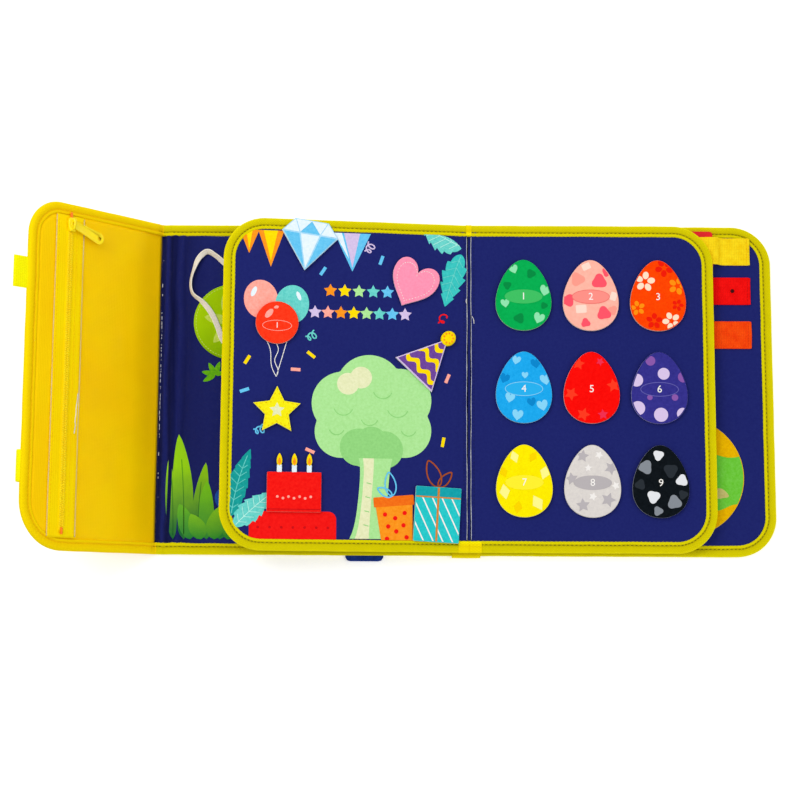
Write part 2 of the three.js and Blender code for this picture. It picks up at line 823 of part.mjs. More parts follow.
// Two webbing tabs on the flap's free edge
const tabWidth = 28;
const tabReach = 15;
const tabThickness = 1.6;
const upperTabFromTop = 69;
const lowerTabFromBottom = 72;

function addClosureTabs() {
  const x0 = flapPanel.far - layerGap;
  const level = lipLow + bindingTape;
  const upperY = caseHeight / 2 - upperTabFromTop;
  const lowerY = lowerTabFromBottom - caseHeight / 2;
  [['upper', upperY], ['lower', lowerY]].forEach(([word, y]) => {
    const tab = block(x0 - tabReach, x0, y - tabWidth / 2, y + tabWidth / 2, level, level + tabThickness);
    place(flapGroup, `closure_tab_${word}`, tab, webbingYellow);
  });
}

addLeftCover();
addLeftPageTrim();
addSideTab();
addSpine();
addRightCover();
addStraps();
addBuckle();
addLeaf(leftLeafGroup, 'left', -1);
addLeaf(rightLeafGroup, 'right', 1);
addEggs();
addFeltPieces();
addGusset();
addFlap();
addZip();
addClosureTabs();

export default model;
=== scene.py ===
import math
import bmesh
import bpy
import numpy as np
from mathutils import Matrix, Vector


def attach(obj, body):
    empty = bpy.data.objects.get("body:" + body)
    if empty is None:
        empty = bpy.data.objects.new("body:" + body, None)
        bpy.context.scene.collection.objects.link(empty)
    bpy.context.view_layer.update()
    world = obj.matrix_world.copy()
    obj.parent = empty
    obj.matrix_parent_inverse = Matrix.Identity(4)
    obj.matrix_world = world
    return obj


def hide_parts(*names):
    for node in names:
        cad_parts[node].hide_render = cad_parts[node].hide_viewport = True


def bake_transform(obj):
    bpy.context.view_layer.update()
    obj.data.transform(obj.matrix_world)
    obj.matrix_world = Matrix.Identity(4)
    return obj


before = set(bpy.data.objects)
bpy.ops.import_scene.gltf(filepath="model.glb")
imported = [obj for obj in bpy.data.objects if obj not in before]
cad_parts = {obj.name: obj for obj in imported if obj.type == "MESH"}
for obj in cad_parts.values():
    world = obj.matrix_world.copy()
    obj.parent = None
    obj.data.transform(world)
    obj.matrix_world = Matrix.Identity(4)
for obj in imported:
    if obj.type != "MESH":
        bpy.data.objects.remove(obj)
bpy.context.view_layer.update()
print("frame loaded")

# All sizes below are millimetres in the case's own frame; piece() turns them to metres


# ---- small helpers for colours, nodes and meshes

def colour(hexText):
    # sRGB hex to linear light, with full alpha
    parts = [int(hexText[i:i + 2], 16) / 255 for i in (1, 3, 5)]
    return [c / 12.92 if c <= 0.04045 else ((c + 0.055) / 1.055) ** 2.4 for c in parts] + [1.0]


def add(tree, kind, values=None):
    # adds one node; each value is a property, a socket's number, or the node or socket that is linked there
    made = tree.nodes.new(kind)
    for key, value in (values or {}).items():
        source = value.outputs[0] if isinstance(value, bpy.types.Node) else value
        if isinstance(source, bpy.types.NodeSocket):
            tree.links.new(source, made.inputs[key])
        elif isinstance(key, int) or key in made.inputs:
            made.inputs[key].default_value = source
        else:
            setattr(made, key, source)
    return made


def finish(name, **sockets):
    # a new material with one Principled shader whose fixed values sit on its own sockets, and the object's coordinates
    material = bpy.data.materials.new(name)
    material.use_nodes = True
    tree = material.node_tree
    shader = tree.nodes["Principled BSDF"]
    for key, value in sockets.items():
        shader.inputs[key.replace("_", " ")].default_value = value
    return material, tree, shader, add(tree, "ShaderNodeTexCoord").outputs["Object"]


def chosen(material):
    # a material as it is, or the felt of that name from the table, made when it is first asked for
    if not isinstance(material, str):
        return material
    return bpy.data.materials.get(material) or feltMaterial(material, *feltTones[material])


def gridFaces(rows, columns, wrap=False):
    # quads between neighbouring rows and columns of a grid, closed round the columns when wrap is set
    r, c = np.arange(rows - 1), np.arange(columns if wrap else columns - 1)
    i, j = np.meshgrid(r, c, indexing="ij")
    k = (j + 1) % columns
    corners = [i * columns + j, (i + 1) * columns + j, (i + 1) * columns + k, i * columns + k]
    return np.stack(corners, -1).reshape(-1, 4).tolist()


def tubeFaces(n, m):
    # n rings of m points, with one face over each end
    return gridFaces(n, m, True) + [list(range(m))[::-1], list(range((n - 1) * m, n * m))]


def sheetFaces(n, m):
    # n rings of m points that run out on one face and back on the other, with a strip of quads over each end
    strips = [[first + i, first + i + 1, first + m - 2 - i, first + m - 1 - i]
              for first in (0, (n - 1) * m) for i in range(m // 2 - 1)]
    return gridFaces(n, m, True) + strips


def stacked(*parts):
    # the parts side by side in a last axis, each stretched to the shape of the others
    return np.stack(np.broadcast_arrays(*parts), -1)


def atHeight(points, z):
    return np.column_stack([points, np.broadcast_to(z, len(points))])


def normed(vectors):
    return vectors / np.linalg.norm(vectors, axis=1, keepdims=True)


def leftOf(vectors):
    return stacked(-vectors[:, 1], vectors[:, 0])


def around(n):
    # n angles round a full turn
    return np.linspace(0, 2 * np.pi, n, endpoint=False)


def distances(line):
    # how far along the line each of its points lies
    return np.concatenate([[0], np.cumsum(np.linalg.norm(np.diff(line, axis=0), axis=1))])


def sampled(at, length, line):
    # the line's values at other distances along it
    return stacked(*(np.interp(at, length, line[:, k]) for k in (0, 1)))


def asIs(points):
    return points


def piece(name, points, faces, body, material, nodes=(), smooth=True, uv=None, marks=None, place=asIs):
    # one object from points in millimetres; uv has a pair per point, marks give each face's material
    points = place(np.asarray(points, float).reshape(-1, 3))
    mesh = bpy.data.meshes.new(name)
    mesh.from_pydata((points * 0.001).tolist(), [], faces)
    for one in material if isinstance(material, (list, tuple)) else [material]:
        mesh.materials.append(chosen(one))
    if uv is not None:
        corner = np.empty(len(mesh.loops), np.int32)
        mesh.loops.foreach_get("vertex_index", corner)
        layer = mesh.uv_layers.new(name="along")
        layer.data.foreach_set("uv", (uv.reshape(-1, 2)[corner] * 0.001).astype(np.float32).ravel())
    if marks is not None:
        mesh.polygons.foreach_set("material_index", np.asarray(marks, np.int32))
    turned = bmesh.new()
    turned.from_mesh(mesh)
    bmesh.ops.recalc_face_normals(turned, faces=turned.faces)
    turned.to_mesh(mesh)
    turned.free()
    mesh.polygons.foreach_set("use_smooth", [smooth] * len(mesh.polygons))
    made = bpy.data.objects.new(name, mesh)
    bpy.context.scene.collection.objects.link(made)
    if isinstance(body, str):
        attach(made, body)
    else:
        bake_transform(made)
    if nodes:
        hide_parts(*nodes)
    return made


def bend(first, second, x0, x1, z, place=asIs):
    # the two bodies of a sheet that bends, and the places on it between which the first gives way to the second
    return (first, second, *(tuple(place(np.array([[x, 0.0, z]]))[0]) for x in (x0, x1)))


# ---- heights as functions of place

def smooth(t):
    # 0 to 1 with flat ends
    t = np.clip(t, 0, 1)
    return t * t * (3 - 2 * t)


def rise(v, start, span):
    # 0 up to start, 1 from start + span on
    return smooth((v - start) / span)


def fall(v, start, span):
    return 1 - rise(v, start, span)


def bell(v, centre, width):
    return np.exp(-((v - centre) / width) ** 2)


# ---- where the two tilted groups stand

tilts = {
    "leaf": {"degrees": 8.0, "x": -1.6, "z": 21.6},       # the left leaf stands up a little from the gutter
    "flap": {"degrees": 47.0, "x": -288.5, "z": 1.2},     # the flap stands up from its fold
}


def tilted(points, key, share=1.0):
    # turns points about the group's own axis, which runs along Y, by that share of its tilt
    one = tilts[key]
    a = np.radians(one["degrees"]) * share
    dx, dz = points[:, 0] - one["x"], points[:, 2] - one["z"]
    return stacked(one["x"] + dx * np.cos(a) + dz * np.sin(a), points[:, 1], one["z"] - dx * np.sin(a) + dz * np.cos(a))


def leafPlace(points):
    return tilted(points, "leaf")


def flapPlace(points):
    return tilted(points, "flap")


def hingePlace(points):
    # round the flap's fold: each point turns by a smooth share of the tilt on its way across the hinge
    near, far = flap["hinge"]
    return tilted(points, "flap", smooth((near - points[:, 0]) / (near - far)))


# ---- camera first, at the photograph's angle

def addCamera():
    look = {"elevation": 82.45, "azimuth": 1.6, "roll": 0.3, "distance": 1.5, "lens": 72.36, "sensor": 36.0,
            "target": (-0.0639, -0.0102, 0.0), "near": 0.05, "far": 20.0}
    a, e, r = (math.radians(look[k]) for k in ("azimuth", "elevation", "roll"))
    back = np.array([math.sin(a) * math.cos(e), -math.cos(a) * math.cos(e), math.sin(e)])
    right = np.cross(-back, [0, 1, 0])
    right /= np.linalg.norm(right)
    up = np.cross(right, -back)
    side, head = right * math.cos(r) + up * math.sin(r), -right * math.sin(r) + up * math.cos(r)
    at = np.array(look["target"]) + back * look["distance"]
    data = bpy.data.cameras.new("camera")
    data.lens, data.sensor_width = look["lens"], look["sensor"]
    data.clip_start, data.clip_end = look["near"], look["far"]
    made = bpy.data.objects.new("camera", data)
    made.matrix_world = Matrix([[side[k], head[k], back[k], at[k]] for k in range(3)] + [[0, 0, 0, 1]])
    bpy.context.scene.collection.objects.link(made)
    bpy.context.scene.camera = made


addCamera()
bpy.context.scene.view_settings.view_transform = "Standard"
print("camera placed")


# ---- finishes; noise scales are in cycles per metre, bump distances in metres, thread spacings in millimetres

def noise(tree, coords, scale, detail, **more):
    return add(tree, "ShaderNodeTexNoise", {"Scale": scale, "Detail": detail, **more, "Vector": coords})


def waves(tree, coords, axis, spacing, distortion, **more):
    # straight bands across the axis
    values = {"bands_direction": axis, "Scale": 314 / spacing, "Distortion": distortion, **more, "Vector": coords}
    return add(tree, "ShaderNodeTexWave", values).outputs["Fac"]


def maths(tree, operation, *inputs):
    return add(tree, "ShaderNodeMath", {"operation": operation, **dict(enumerate(inputs))}).outputs[0]


def multiplied(tree, first, second):
    values = {"data_type": "RGBA", "blend_type": "MULTIPLY", 0: 1.0, 6: first, 7: second}
    return add(tree, "ShaderNodeMix", values).outputs[2]


def ramp(tree, share, stops):
    # a colour ramp from pairs of position and linear colour, of which the first two are its ends
    made = add(tree, "ShaderNodeValToRGB", {"Fac": share})
    kept = made.color_ramp.elements
    for k, (position, tone) in enumerate(stops):
        stop = kept[k] if k < 2 else kept.new(position)
        stop.position, stop.color = position, tone
    return made.outputs["Color"]


def mottled(tree, coords, low, high, scale, detail, contrast):
    # a colour that drifts between two tones with noise
    share = noise(tree, coords, scale, detail, Roughness=0.6)
    return ramp(tree, share, zip(contrast, (colour(low), colour(high))))


def darkened(tree, base, height, low, span):
    # the base colour times low + span x height, so that the lows of a pattern are a little darker: painted shade in the
    # hollows of the weave or fibres
    return multiplied(tree, base, maths(tree, "MULTIPLY_ADD", height, span, low))


def dress(tree, shader, base, height, strength, distance):
    # the shader's colour and its bump
    tree.links.new(base, shader.inputs["Base Color"])
    bump = add(tree, "ShaderNodeBump", {"Strength": strength, "Distance": distance, "Height": height})
    tree.links.new(bump.outputs["Normal"], shader.inputs["Normal"])


def feltSurface(tree, coords, low, high):
    # needle-punched polyester felt: a fine tangle of fibres about 0.4 mm apart, drawn 0.7 mm apart so that it shows
    tangle = noise(tree, coords, 1500, 3.0, Distortion=1.2)
    return darkened(tree, mottled(tree, coords, low, high, 420, 6.0, (0.3, 0.7)), tangle, 0.93, 0.14), tangle


def feltMaterial(name, low, high, fade=None):
    # matt felt; with fade it is printed, and its colour runs from low at the first place along Y to high at the second
    material, tree, shader, coords = finish(name, Roughness=0.95, Specular_IOR_Level=0.03)
    base, tangle = feltSurface(tree, coords, low, high)
    if fade:
        along = add(tree, "ShaderNodeSeparateXYZ", {0: coords}).outputs["Y"]
        ends = {"From Min": fade[0] * 0.001, "From Max": fade[1] * 0.001, "Value": along}
        cloud = maths(tree, "MULTIPLY_ADD", noise(tree, coords, 70.0, 2.0), 0.3, -0.15)
        total = add(tree, "ShaderNodeMath", {"operation": "ADD", "use_clamp": True,
                                             0: add(tree, "ShaderNodeMapRange", ends), 1: cloud})
        base = ramp(tree, total, [(0.0, colour(low)), (1.0, colour(high))])
    height = maths(tree, "MULTIPLY_ADD", noise(tree, coords, 60, 2.0), 3.0, tangle)
    dress(tree, shader, base, height, 0.25, 0.0006)
    return material


def foldShadedFelt(name, low, high, folds):
    # the same felt where it is drawn into long soft folds along Y, with the shade of the folds painted into its colour:
    # folds give, from left to right in metres, how dark that painted shade is there; a slow noise sways them
    material, tree, shader, coords = finish(name, Roughness=0.85, Specular_IOR_Level=0.05)
    start, span = folds[0][0], folds[-1][0] - folds[0][0]
    slow = add(tree, "ShaderNodeMapping", {"Scale": [1.0, 0.5, 1.0], "Vector": coords})
    along = add(tree, "ShaderNodeSeparateXYZ", {0: coords}).outputs["X"]
    moved = maths(tree, "MULTIPLY_ADD", noise(tree, slow, 26, 3.0), 0.012, along)
    share = add(tree, "ShaderNodeMapRange", {"From Min": start, "From Max": folds[-1][0], "Value": moved})
    foldShadeGreys = [((x - start) / span, (grey, grey, grey, 1)) for x, grey in (folds[0], folds[-1], *folds[1:-1])]
    base, tangle = feltSurface(tree, coords, low, high)
    # the grey ramp multiplies the felt's colour: painted shade of the folds
    dress(tree, shader, multiplied(tree, base, ramp(tree, share, foldShadeGreys)), tangle, 0.25, 0.0006)
    return material


def tapeMaterial(name, tones, ribs=2.4, width=0.0108):
    # woven polyester binding: its yarns cross in a fine net, drawn 2.4 mm apart so that it shows. Across the tape the
    # tones run from the turned outer edge, over the crown and the stitch line, painted darker as shade, to the inner
    # strip, painted brighter as light
    material, tree, shader, coords = finish(name, Roughness=0.75, Specular_IOR_Level=0.04)
    uv = coords.node.outputs["UV"]
    across = add(tree, "ShaderNodeSeparateXYZ", {0: uv}).outputs["Y"]
    share = add(tree, "ShaderNodeMapRange", {"From Max": width, "Value": across})
    moved = maths(tree, "MULTIPLY_ADD", noise(tree, coords, 140, 3.0), 0.16, share)
    base = ramp(tree, moved, [(at, colour(tone)) for at, tone in tones])
    turned = add(tree, "ShaderNodeMapping", {"Scale": [1.0, -1.0, 1.0], "Vector": uv})
    net = maths(tree, "MULTIPLY", *(waves(tree, v, "DIAGONAL", ribs / 2, 0.6) for v in (uv, turned)))
    dress(tree, shader, darkened(tree, base, net, 0.90, 0.2), net, 0.5, 0.0003)
    return material


def webMaterial(name, low, high, axis="X", ribs=1.6):
    # polypropylene webbing: heavy yarns crossing 1.6 mm apart, with a slight gloss on each yarn
    material, tree, shader, coords = finish(name, Roughness=0.6, Specular_IOR_Level=0.05)
    rib = waves(tree, coords, axis, ribs, 0.6, Detail=1.0)
    yarn = waves(tree, coords, "Y" if axis == "X" else "X", ribs, 0.3)
    height = maths(tree, "MULTIPLY_ADD", yarn, 0.6, rib)
    tone = mottled(tree, coords, low, high, 180, 3.0, (0.3, 0.7))
    dress(tree, shader, darkened(tree, tone, height, 0.90, 0.11), height, 0.5, 0.0004)
    return material


def clothMaterial(name, low, high, roughness=0.6, thread=1.2, drift=26, gloss=0.04):
    # coated oxford cloth: a plain weave, drawn 1.2 mm apart so that it shows, softened by the coating
    material, tree, shader, coords = finish(name, Roughness=roughness, Specular_IOR_Level=gloss)
    weave = maths(tree, "MAXIMUM", *(waves(tree, coords, axis, thread, 0.5) for axis in "XY"))
    tone = mottled(tree, coords, low, high, drift, 3.0, (0.3, 0.75))
    height = maths(tree, "MULTIPLY_ADD", noise(tree, coords, 22, 2.0), 6.0, weave)
    dress(tree, shader, darkened(tree, tone, weave, 0.95, 0.06), height, 0.3, 0.0003)
    return material


def plasticMaterial(name, low, high, roughness):
    # moulded plastic: glossy with a faint texture from the mould
    material, tree, shader, coords = finish(name, Roughness=roughness, Specular_IOR_Level=0.3, IOR=1.49)
    tone = mottled(tree, coords, low, high, 90, 3.0, (0.35, 0.7))
    dress(tree, shader, tone, noise(tree, coords, 900, 2.0), 0.12, 0.0002)
    return material


def threadMaterial(name, low, high):
    # spun polyester thread with a slight twist
    material, tree, shader, coords = finish(name, Roughness=0.7, Specular_IOR_Level=0.08)
    tree.links.new(mottled(tree, coords, low, high, 700, 2.0, (0.3, 0.7)), shader.inputs["Base Color"])
    return material


def filmMaterial(name, tint, shade, least, most):
    # clear PVC film: nearly all seen through, glossy, taking the colour of the cloth under it, hazier in patches
    material, tree, shader, coords = finish(name, Roughness=0.15, IOR=1.53, Specular_IOR_Level=0.35)
    haze = noise(tree, coords, 30, 4.0)
    ends = {"From Min": 0.4, "From Max": 0.75, "To Min": least, "To Max": most, "Value": haze}
    tree.links.new(add(tree, "ShaderNodeMapRange", ends).outputs[0], shader.inputs["Alpha"])
    tone = mottled(tree, coords, tint, shade, 30, 2.0, (0.3, 0.8))
    dress(tree, shader, tone, noise(tree, coords, 18, 2.0), 0.4, 0.002)
    return material


# plain felts and prints on felt, each by its two tones
feltTones = {
    "navyFelt": ("#1c2266", "#21286c"),               # dark blue page felt, sheared flat
    "undyedFeltCore": ("#9ea2b4", "#d4d6de"),         # pale core of the felt where it is cut
    "grassGreenPrint": ("#55ac18", "#7cc41c"),
    "tealPrint": ("#13908c", "#1fa6a0"),
    "blueShadowPrint": ("#1c4aa0", "#2458b0"),
    "whitePrint": ("#eceae4", "#faf8f4"),
    "paleLimePrint": ("#c0d848", "#d2e66c"),
    "amberPatchFelt": ("#e0a800", "#efbc00"),
    "patchPaleEdge": ("#d8dc90", "#e8e8b0"),
    "leafGreenPrint": ("#62c02c", "#74cc48"),
    "sandPrint": ("#bcb268", "#cac47c"),
    "numberPrint": ("#f2eee8", "#fffdf8"),
    "redOrangeFelt": ("#f62e10", "#ff4020"),
    "yellowFelt": ("#fcd400", "#ffe40c"),
    "pinkFelt": ("#ff8cab", "#ff9cba"),
    "paleBlueFelt": ("#98d4f2", "#b4e2fa"),
    "purpleFelt": ("#643c90", "#764ea2"),
    "tealFelt": ("#1cc0c2", "#30d0d0"),
    "redFelt": ("#f00e0e", "#fc2018"),
    "lilacFelt": ("#cdb8e0", "#dccaec"),
    "creamPrint": ("#e0e4b0", "#eef0c6"),
    "paleGreenPrint": ("#a4e08c", "#b4ea9e"),
    "mintGreenPrint": ("#8ccf78", "#98da84"),
    "aquaPrint": ("#58c8c0", "#78dcd2"),
    "mintAquaPrint": ("#a8ece0", "#c0f4ea"),
    "orangePrint": ("#f88a10", "#ffa028"),
    "redPrint": ("#ee1010", "#fa1e1a"),
    "lightCoralPrint": ("#ff9a8a", "#ffb4a6"),
    "iceBluePrint": ("#dcf0fb", "#eef8fe"),
    "skyBluePrint": ("#58bcec", "#72ccf4"),
    "deepTealPrint": ("#0f9aa4", "#1ca8b0"),
    "deepRedPrint": ("#c40c14", "#d4141a"),
    "lemonFelt": ("#f2e60a", "#fcf21c"),
    "bronzePrint": ("#d07c28", "#e08c34"),
    "brightTealPrint": ("#30bcb8", "#44ccc6"),
    "deepOrangePrint": ("#f06414", "#f87a1c"),
    "brownPrint": ("#9c481c", "#ac5424"),
}
# the left page's felt, darkened in steps beside the flap's fold as painted shade of its folds
leftPageShadedFelt = foldShadedFelt("navyFeltPaintedFoldShade", *feltTones["navyFelt"], [
    (-0.285, 0.42), (-0.279, 0.72), (-0.2755, 0.9), (-0.2715, 0.34), (-0.268, 0.5), (-0.264, 0.86), (-0.258, 0.62),
    (-0.250, 0.8), (-0.236, 1.0)])
# navy cloth for the flap's hinge, darker than the cover cloth as painted shade of the fold
navyHingeShadeCloth = clothMaterial("navyHingeClothPaintedShade", "#0e1134", "#171b4a", 0.5, 1.2, 40, 0.12)
navyCloth = clothMaterial("navyOxfordCloth", "#1a2060", "#1e256a", 0.7)   # the case's outer cloth
flapCloth = clothMaterial("yellowCoatedCloth", "#ffcc00", "#ffd600", 0.5, 1.2, 14)
zipTape = clothMaterial("yellowZipTape", "#ffd600", "#ffe200", 0.7, 1.6, 26)
# tones across each binding tape: the darker stops at the crown and stitch groove are painted shade, the brighter stops
# painted light
limeTape = tapeMaterial("limeYellowBinding", [
    (0.0, "#ece000"), (1.0, "#e0d400"), (0.10, "#f6ea00"), (0.24, "#dfd200"), (0.62, "#d2c500"), (0.72, "#b4a600"),
    (0.80, "#d0c300"), (0.90, "#e6da00")])
# a brighter copy of the binding tape's colour for the turned tape ends: painted light
litLapTape = tapeMaterial("turnedBindingEndPaintedLight", [
    (0.0, "#fff000"), (1.0, "#fff000"), (0.3, "#fce400"), (0.66, "#f0d400"), (0.8, "#ffe800")])
warmTape = tapeMaterial("warmYellowBinding", [
    (0.0, "#fad200"), (1.0, "#ffd800"), (0.12, "#ffe000"), (0.40, "#fed800"), (0.70, "#fad000"), (0.76, "#ecb800"),
    (0.84, "#fcd000"), (0.92, "#ffda00")])
greyBoard = plasticMaterial("greyStiffenerBoard", "#8b8881", "#a09c94", 0.8)
filmGlintPaint = plasticMaterial("paintedFilmGlint", "#cfd0d6", "#f2f2f4", 0.4)   # white marks standing for glints on the film's folds: painted highlights
zipTeeth = plasticMaterial("yellowNylonCoil", "#ffdc00", "#ffe800", 0.6)
zipPaint = plasticMaterial("yellowPaintedZinc", "#ffe000", "#ffee00", 0.35)
orangeStop = plasticMaterial("orangeZipStop", "#ff7a00", "#ff8c10", 0.4)
redPlastic = plasticMaterial("redAcetalBuckle", "#d0000c", "#e80f14", 0.3)
darkThread = threadMaterial("oliveThread", "#4a4408", "#6e660c")
yellowThread = threadMaterial("yellowThread", "#c89a00", "#dcae00")
goldThread = threadMaterial("goldThread", "#f0bc00", "#fcca00")
navyThread = threadMaterial("navyThread", "#0a0d28", "#141a44")
whiteThread = threadMaterial("whiteThread", "#e4e0d8", "#fbf8f2")
limeThread = threadMaterial("paleGreenThread", "#c8dc50", "#dcec80")
amberThread = threadMaterial("amberThread", "#e8b000", "#f4c000")
redThread = threadMaterial("redThread", "#c40804", "#dc100c")
orangeThread = threadMaterial("orangeThread", "#d83404", "#ea4408")
# dark red-brown for the belt hole's opening: painted shade
beltHolePaintedShade = threadMaterial("beltHolePaintedShade", "#2c0406", "#44080a")
tabWeb = webMaterial("yellowTabWebbing", "#fff600", "#fffc00", "Y", 1.4)
blueWeb = webMaterial("blueTabWebbing", "#15307e", "#1c3c98", "X", 1.9)
yellowWeb = webMaterial("yellowWebbing", "#f6cc06", "#ffe01a")
redWeb = webMaterial("redWebbing", "#ea0202", "#fc0c0a")
orangeWeb = webMaterial("orangeWebbing", "#f23c00", "#ff5206")
clearFilm = filmMaterial("clearPvcFilm", "#ffcc00", "#ffd800", 0.02, 0.06)
weldedFilm = filmMaterial("weldedFilmEdge", "#ecd488", "#f4e6b8", 0.35, 0.65)
print("finishes made")


# ---- shapes worked out on grids

def pair(radius):
    return radius if isinstance(radius, tuple) else (radius, radius)


def uOutline(x0, x1, half, radius, step=0.95):
    # three sides of a rounded rectangle: along the top from x0, round the far side at x1, back along the bottom;
    # radius may be a pair, for the top and the bottom corner
    s = 1 if x1 > x0 else -1
    t = np.linspace(0, np.pi / 2, 48)
    arc, arcBelow = (stacked(x1 - s * r + s * r * np.sin(t), half - r + r * np.cos(t)) for r in pair(radius))
    turn = stacked(-s * np.sin(t), -np.cos(t))
    flip = np.array([1, -1])
    line = np.concatenate([[[x0, half]], arc, arcBelow[::-1] * flip, [[x0, -half]]])
    inward = np.concatenate([[[0, -1]], turn, turn[::-1] * flip, [[0, 1]]])
    length = distances(line)
    at = np.linspace(0, length[-1], max(2, int(length[-1] / step) + 1))
    return sampled(at, length, line), normed(sampled(at, length, inward)), at


def straightEdge(x0, x1, y, step=0.95):
    # a straight run of edge from x0 to x1 at the height y on the page
    x = np.linspace(x0, x1, max(2, int(abs(x1 - x0) / step) + 1))
    return stacked(x, y), np.tile([0.0, -np.sign(y)], (len(x), 1)), np.abs(x - x0)


tape = {"nose": 2.6, "stitch": 7.3, "pitch": 3.9, "lip": 0.9}
coverTape, leafTape = (0.35, 5.15), (13.95, 18.75)     # the two heights between which each tape lies


def tapeProfile(low, high):
    # folded tape seen end on, as (distance in from the edge, height): a round nose, a crown, a stitch groove, and the
    # tape's own thickness at the inner edge; the same below, so the loop is closed
    s = np.array([0, 0.12, 0.5, 1.1, 1.9, 2.8, 4.2, 5.6, 6.6, 7.0, 7.3, 7.6, 8.0, 8.8, 9.8, 10.4, 10.7, 10.8])
    half, middle = (high - low) / 2, (high + low) / 2
    nose = np.sqrt(np.clip(1 - (1 - np.minimum(s / tape["nose"], 1)) ** 2, 0, 1))
    body = half * nose + 0.4 * bell(s, 4.0, 2.0) - 0.45 * bell(s, tape["stitch"], 0.5)
    body += 0.2 * bell(s, 9.2, 0.8) - tape["lip"] * rise(s, 10.3, 0.5)
    return np.concatenate([stacked(s, middle + body), stacked(s, middle - body)[::-1][:-1]])


def lens(length, width, height):
    # one stitch: a small lens of 3 rings of 6 points and two ends, lying along X
    t = np.arange(6) * np.pi / 3
    rings = [stacked(x * length / 2, np.cos(t) * width / 2 * r, np.sin(t) * height / 2 * r)
             for x, r in ((-0.7, 0.75), (0, 1.0), (0.7, 0.75))]
    points = np.concatenate(rings + [np.array([[-length / 2, 0, 0], [length / 2, 0, 0]])])
    faces = gridFaces(3, 6, True)
    faces += [[18, k, (k + 1) % 6] for k in range(6)] + [[19, 12 + (k + 1) % 6, 12 + k] for k in range(6)]
    return points, faces


def stitchRow(name, places, directions, body, material, size, place=asIs):
    # stitches of one seam, each turned to its own direction in the plane, or all to the same
    shape, faces = lens(*size)
    n = len(places)
    along = normed(np.broadcast_to(directions, (n, 2)))
    spot = shape[None, :, :1] * along[:, None, :] + shape[None, :, 1:2] * leftOf(along)[:, None, :]
    points = np.concatenate([places[:, None, :2] + spot, places[:, None, 2:] + shape[None, :, 2:]], -1)
    every = [[v + k * len(shape) for v in f] for k in range(n) for f in faces]
    return piece(name, points, every, body, material, place=place)


def bindingPiece(name, route, levels, body, material, thread, nodes=(), place=asIs, ripple=0.0, seed=1, split=None):
    # the folded tape carried along an edge: its inner edge is drawn in a little at each stitch, and its ripples, a sum
    # of four sines, die away towards both ends so that the next tape meets it. split gives a second material's limit
    # in x
    path, inward, at = route
    low, high = levels
    middle = (low + high) / 2
    bends = np.random.default_rng(seed).uniform(0, 6.28, 4)
    calm = smooth(at / 8) * smooth((at[-1] - at) / 8)
    wave = calm * sum(np.sin(at / w + b) for w, b in zip((7.0, 11.0, 17.0, 5.2), bends)) / 4
    profile = tapeProfile(low, high)
    inner = rise(profile[:, 0], 8.0, 2.5)
    beat = np.cos(at * 2 * np.pi / tape["pitch"])
    drawn, puff, lift = 0.14 * beat + ripple * wave * 1.6, 1 + 0.04 * beat, ripple * 0.8 * wave
    reach = profile[:, 0] + inner * drawn[:, None] + 0.15 * wave[:, None] * (1 - inner)
    height = middle + (profile[:, 1] - middle) * np.where(profile[:, 0] > 8, 1.0, puff[:, None]) + lift[:, None]
    flat = path[:, None, :] + inward[:, None, :] * reach[:, :, None]
    grid = np.concatenate([flat, np.maximum(height, 0.04)[:, :, None]], -1)
    n, m = grid.shape[:2]
    marks = None
    if split is not None:
        beyond = (path[:-1, 0] < split).astype(int)
        marks = np.concatenate([np.repeat(beyond, m), [beyond[0], beyond[-1]]])
    piece(name, grid, tubeFaces(n, m), body, material, nodes, uv=stacked(at[:, None], profile[:, 0]),
          marks=marks, place=place)
    count = int((at[-1] - 2) / tape["pitch"])
    where = 1.5 + (np.arange(count) + 0.5) * (at[-1] - 3) / count
    spot = sampled(where, at, path + inward * tape["stitch"])
    extra = np.interp(where, at, lift)
    for word, height in (("front", high - 0.36), ("back", low + 0.36)):
        stitchRow(f"{name}_stitches_{word}", atHeight(spot, height + extra), leftOf(sampled(where, at, inward)), body,
                  thread, (2.3, 0.95, 0.6), place)


def rimDistance(x, y, x0, x1, half, radius):
    # how far a point lies inside the rounded outline, not counting the fold side at x0
    above, below = pair(radius)
    radius = np.where(y > 0, above, below)
    qx, qy = np.abs(x - x0) - (abs(x1 - x0) - radius), np.abs(y) - (half - radius)
    outside = np.hypot(np.maximum(qx, 0), np.maximum(qy, 0)) + np.minimum(np.maximum(qx, qy), 0)
    return radius - outside


def columns(x0, x1, step, fine=()):
    # places along x from x0 to x1, closer together round each (centre, half, step) of fine
    spots = [np.linspace(x0, x1, max(3, int(abs(x1 - x0) / step) + 1))]
    for centre, half, close in fine:
        spots.append(np.arange(max(min(x0, x1), centre - half), min(max(x0, x1), centre + half), close))
    x = np.unique(np.round(np.concatenate(spots), 3))
    x = x[(np.abs(x - x0) > 0.2) & (np.abs(x - x1) > 0.2)]
    x = x[np.concatenate([[True], np.diff(x) > 0.12])]
    return np.concatenate([[x0], x if x1 > x0 else x[::-1], [x1]])


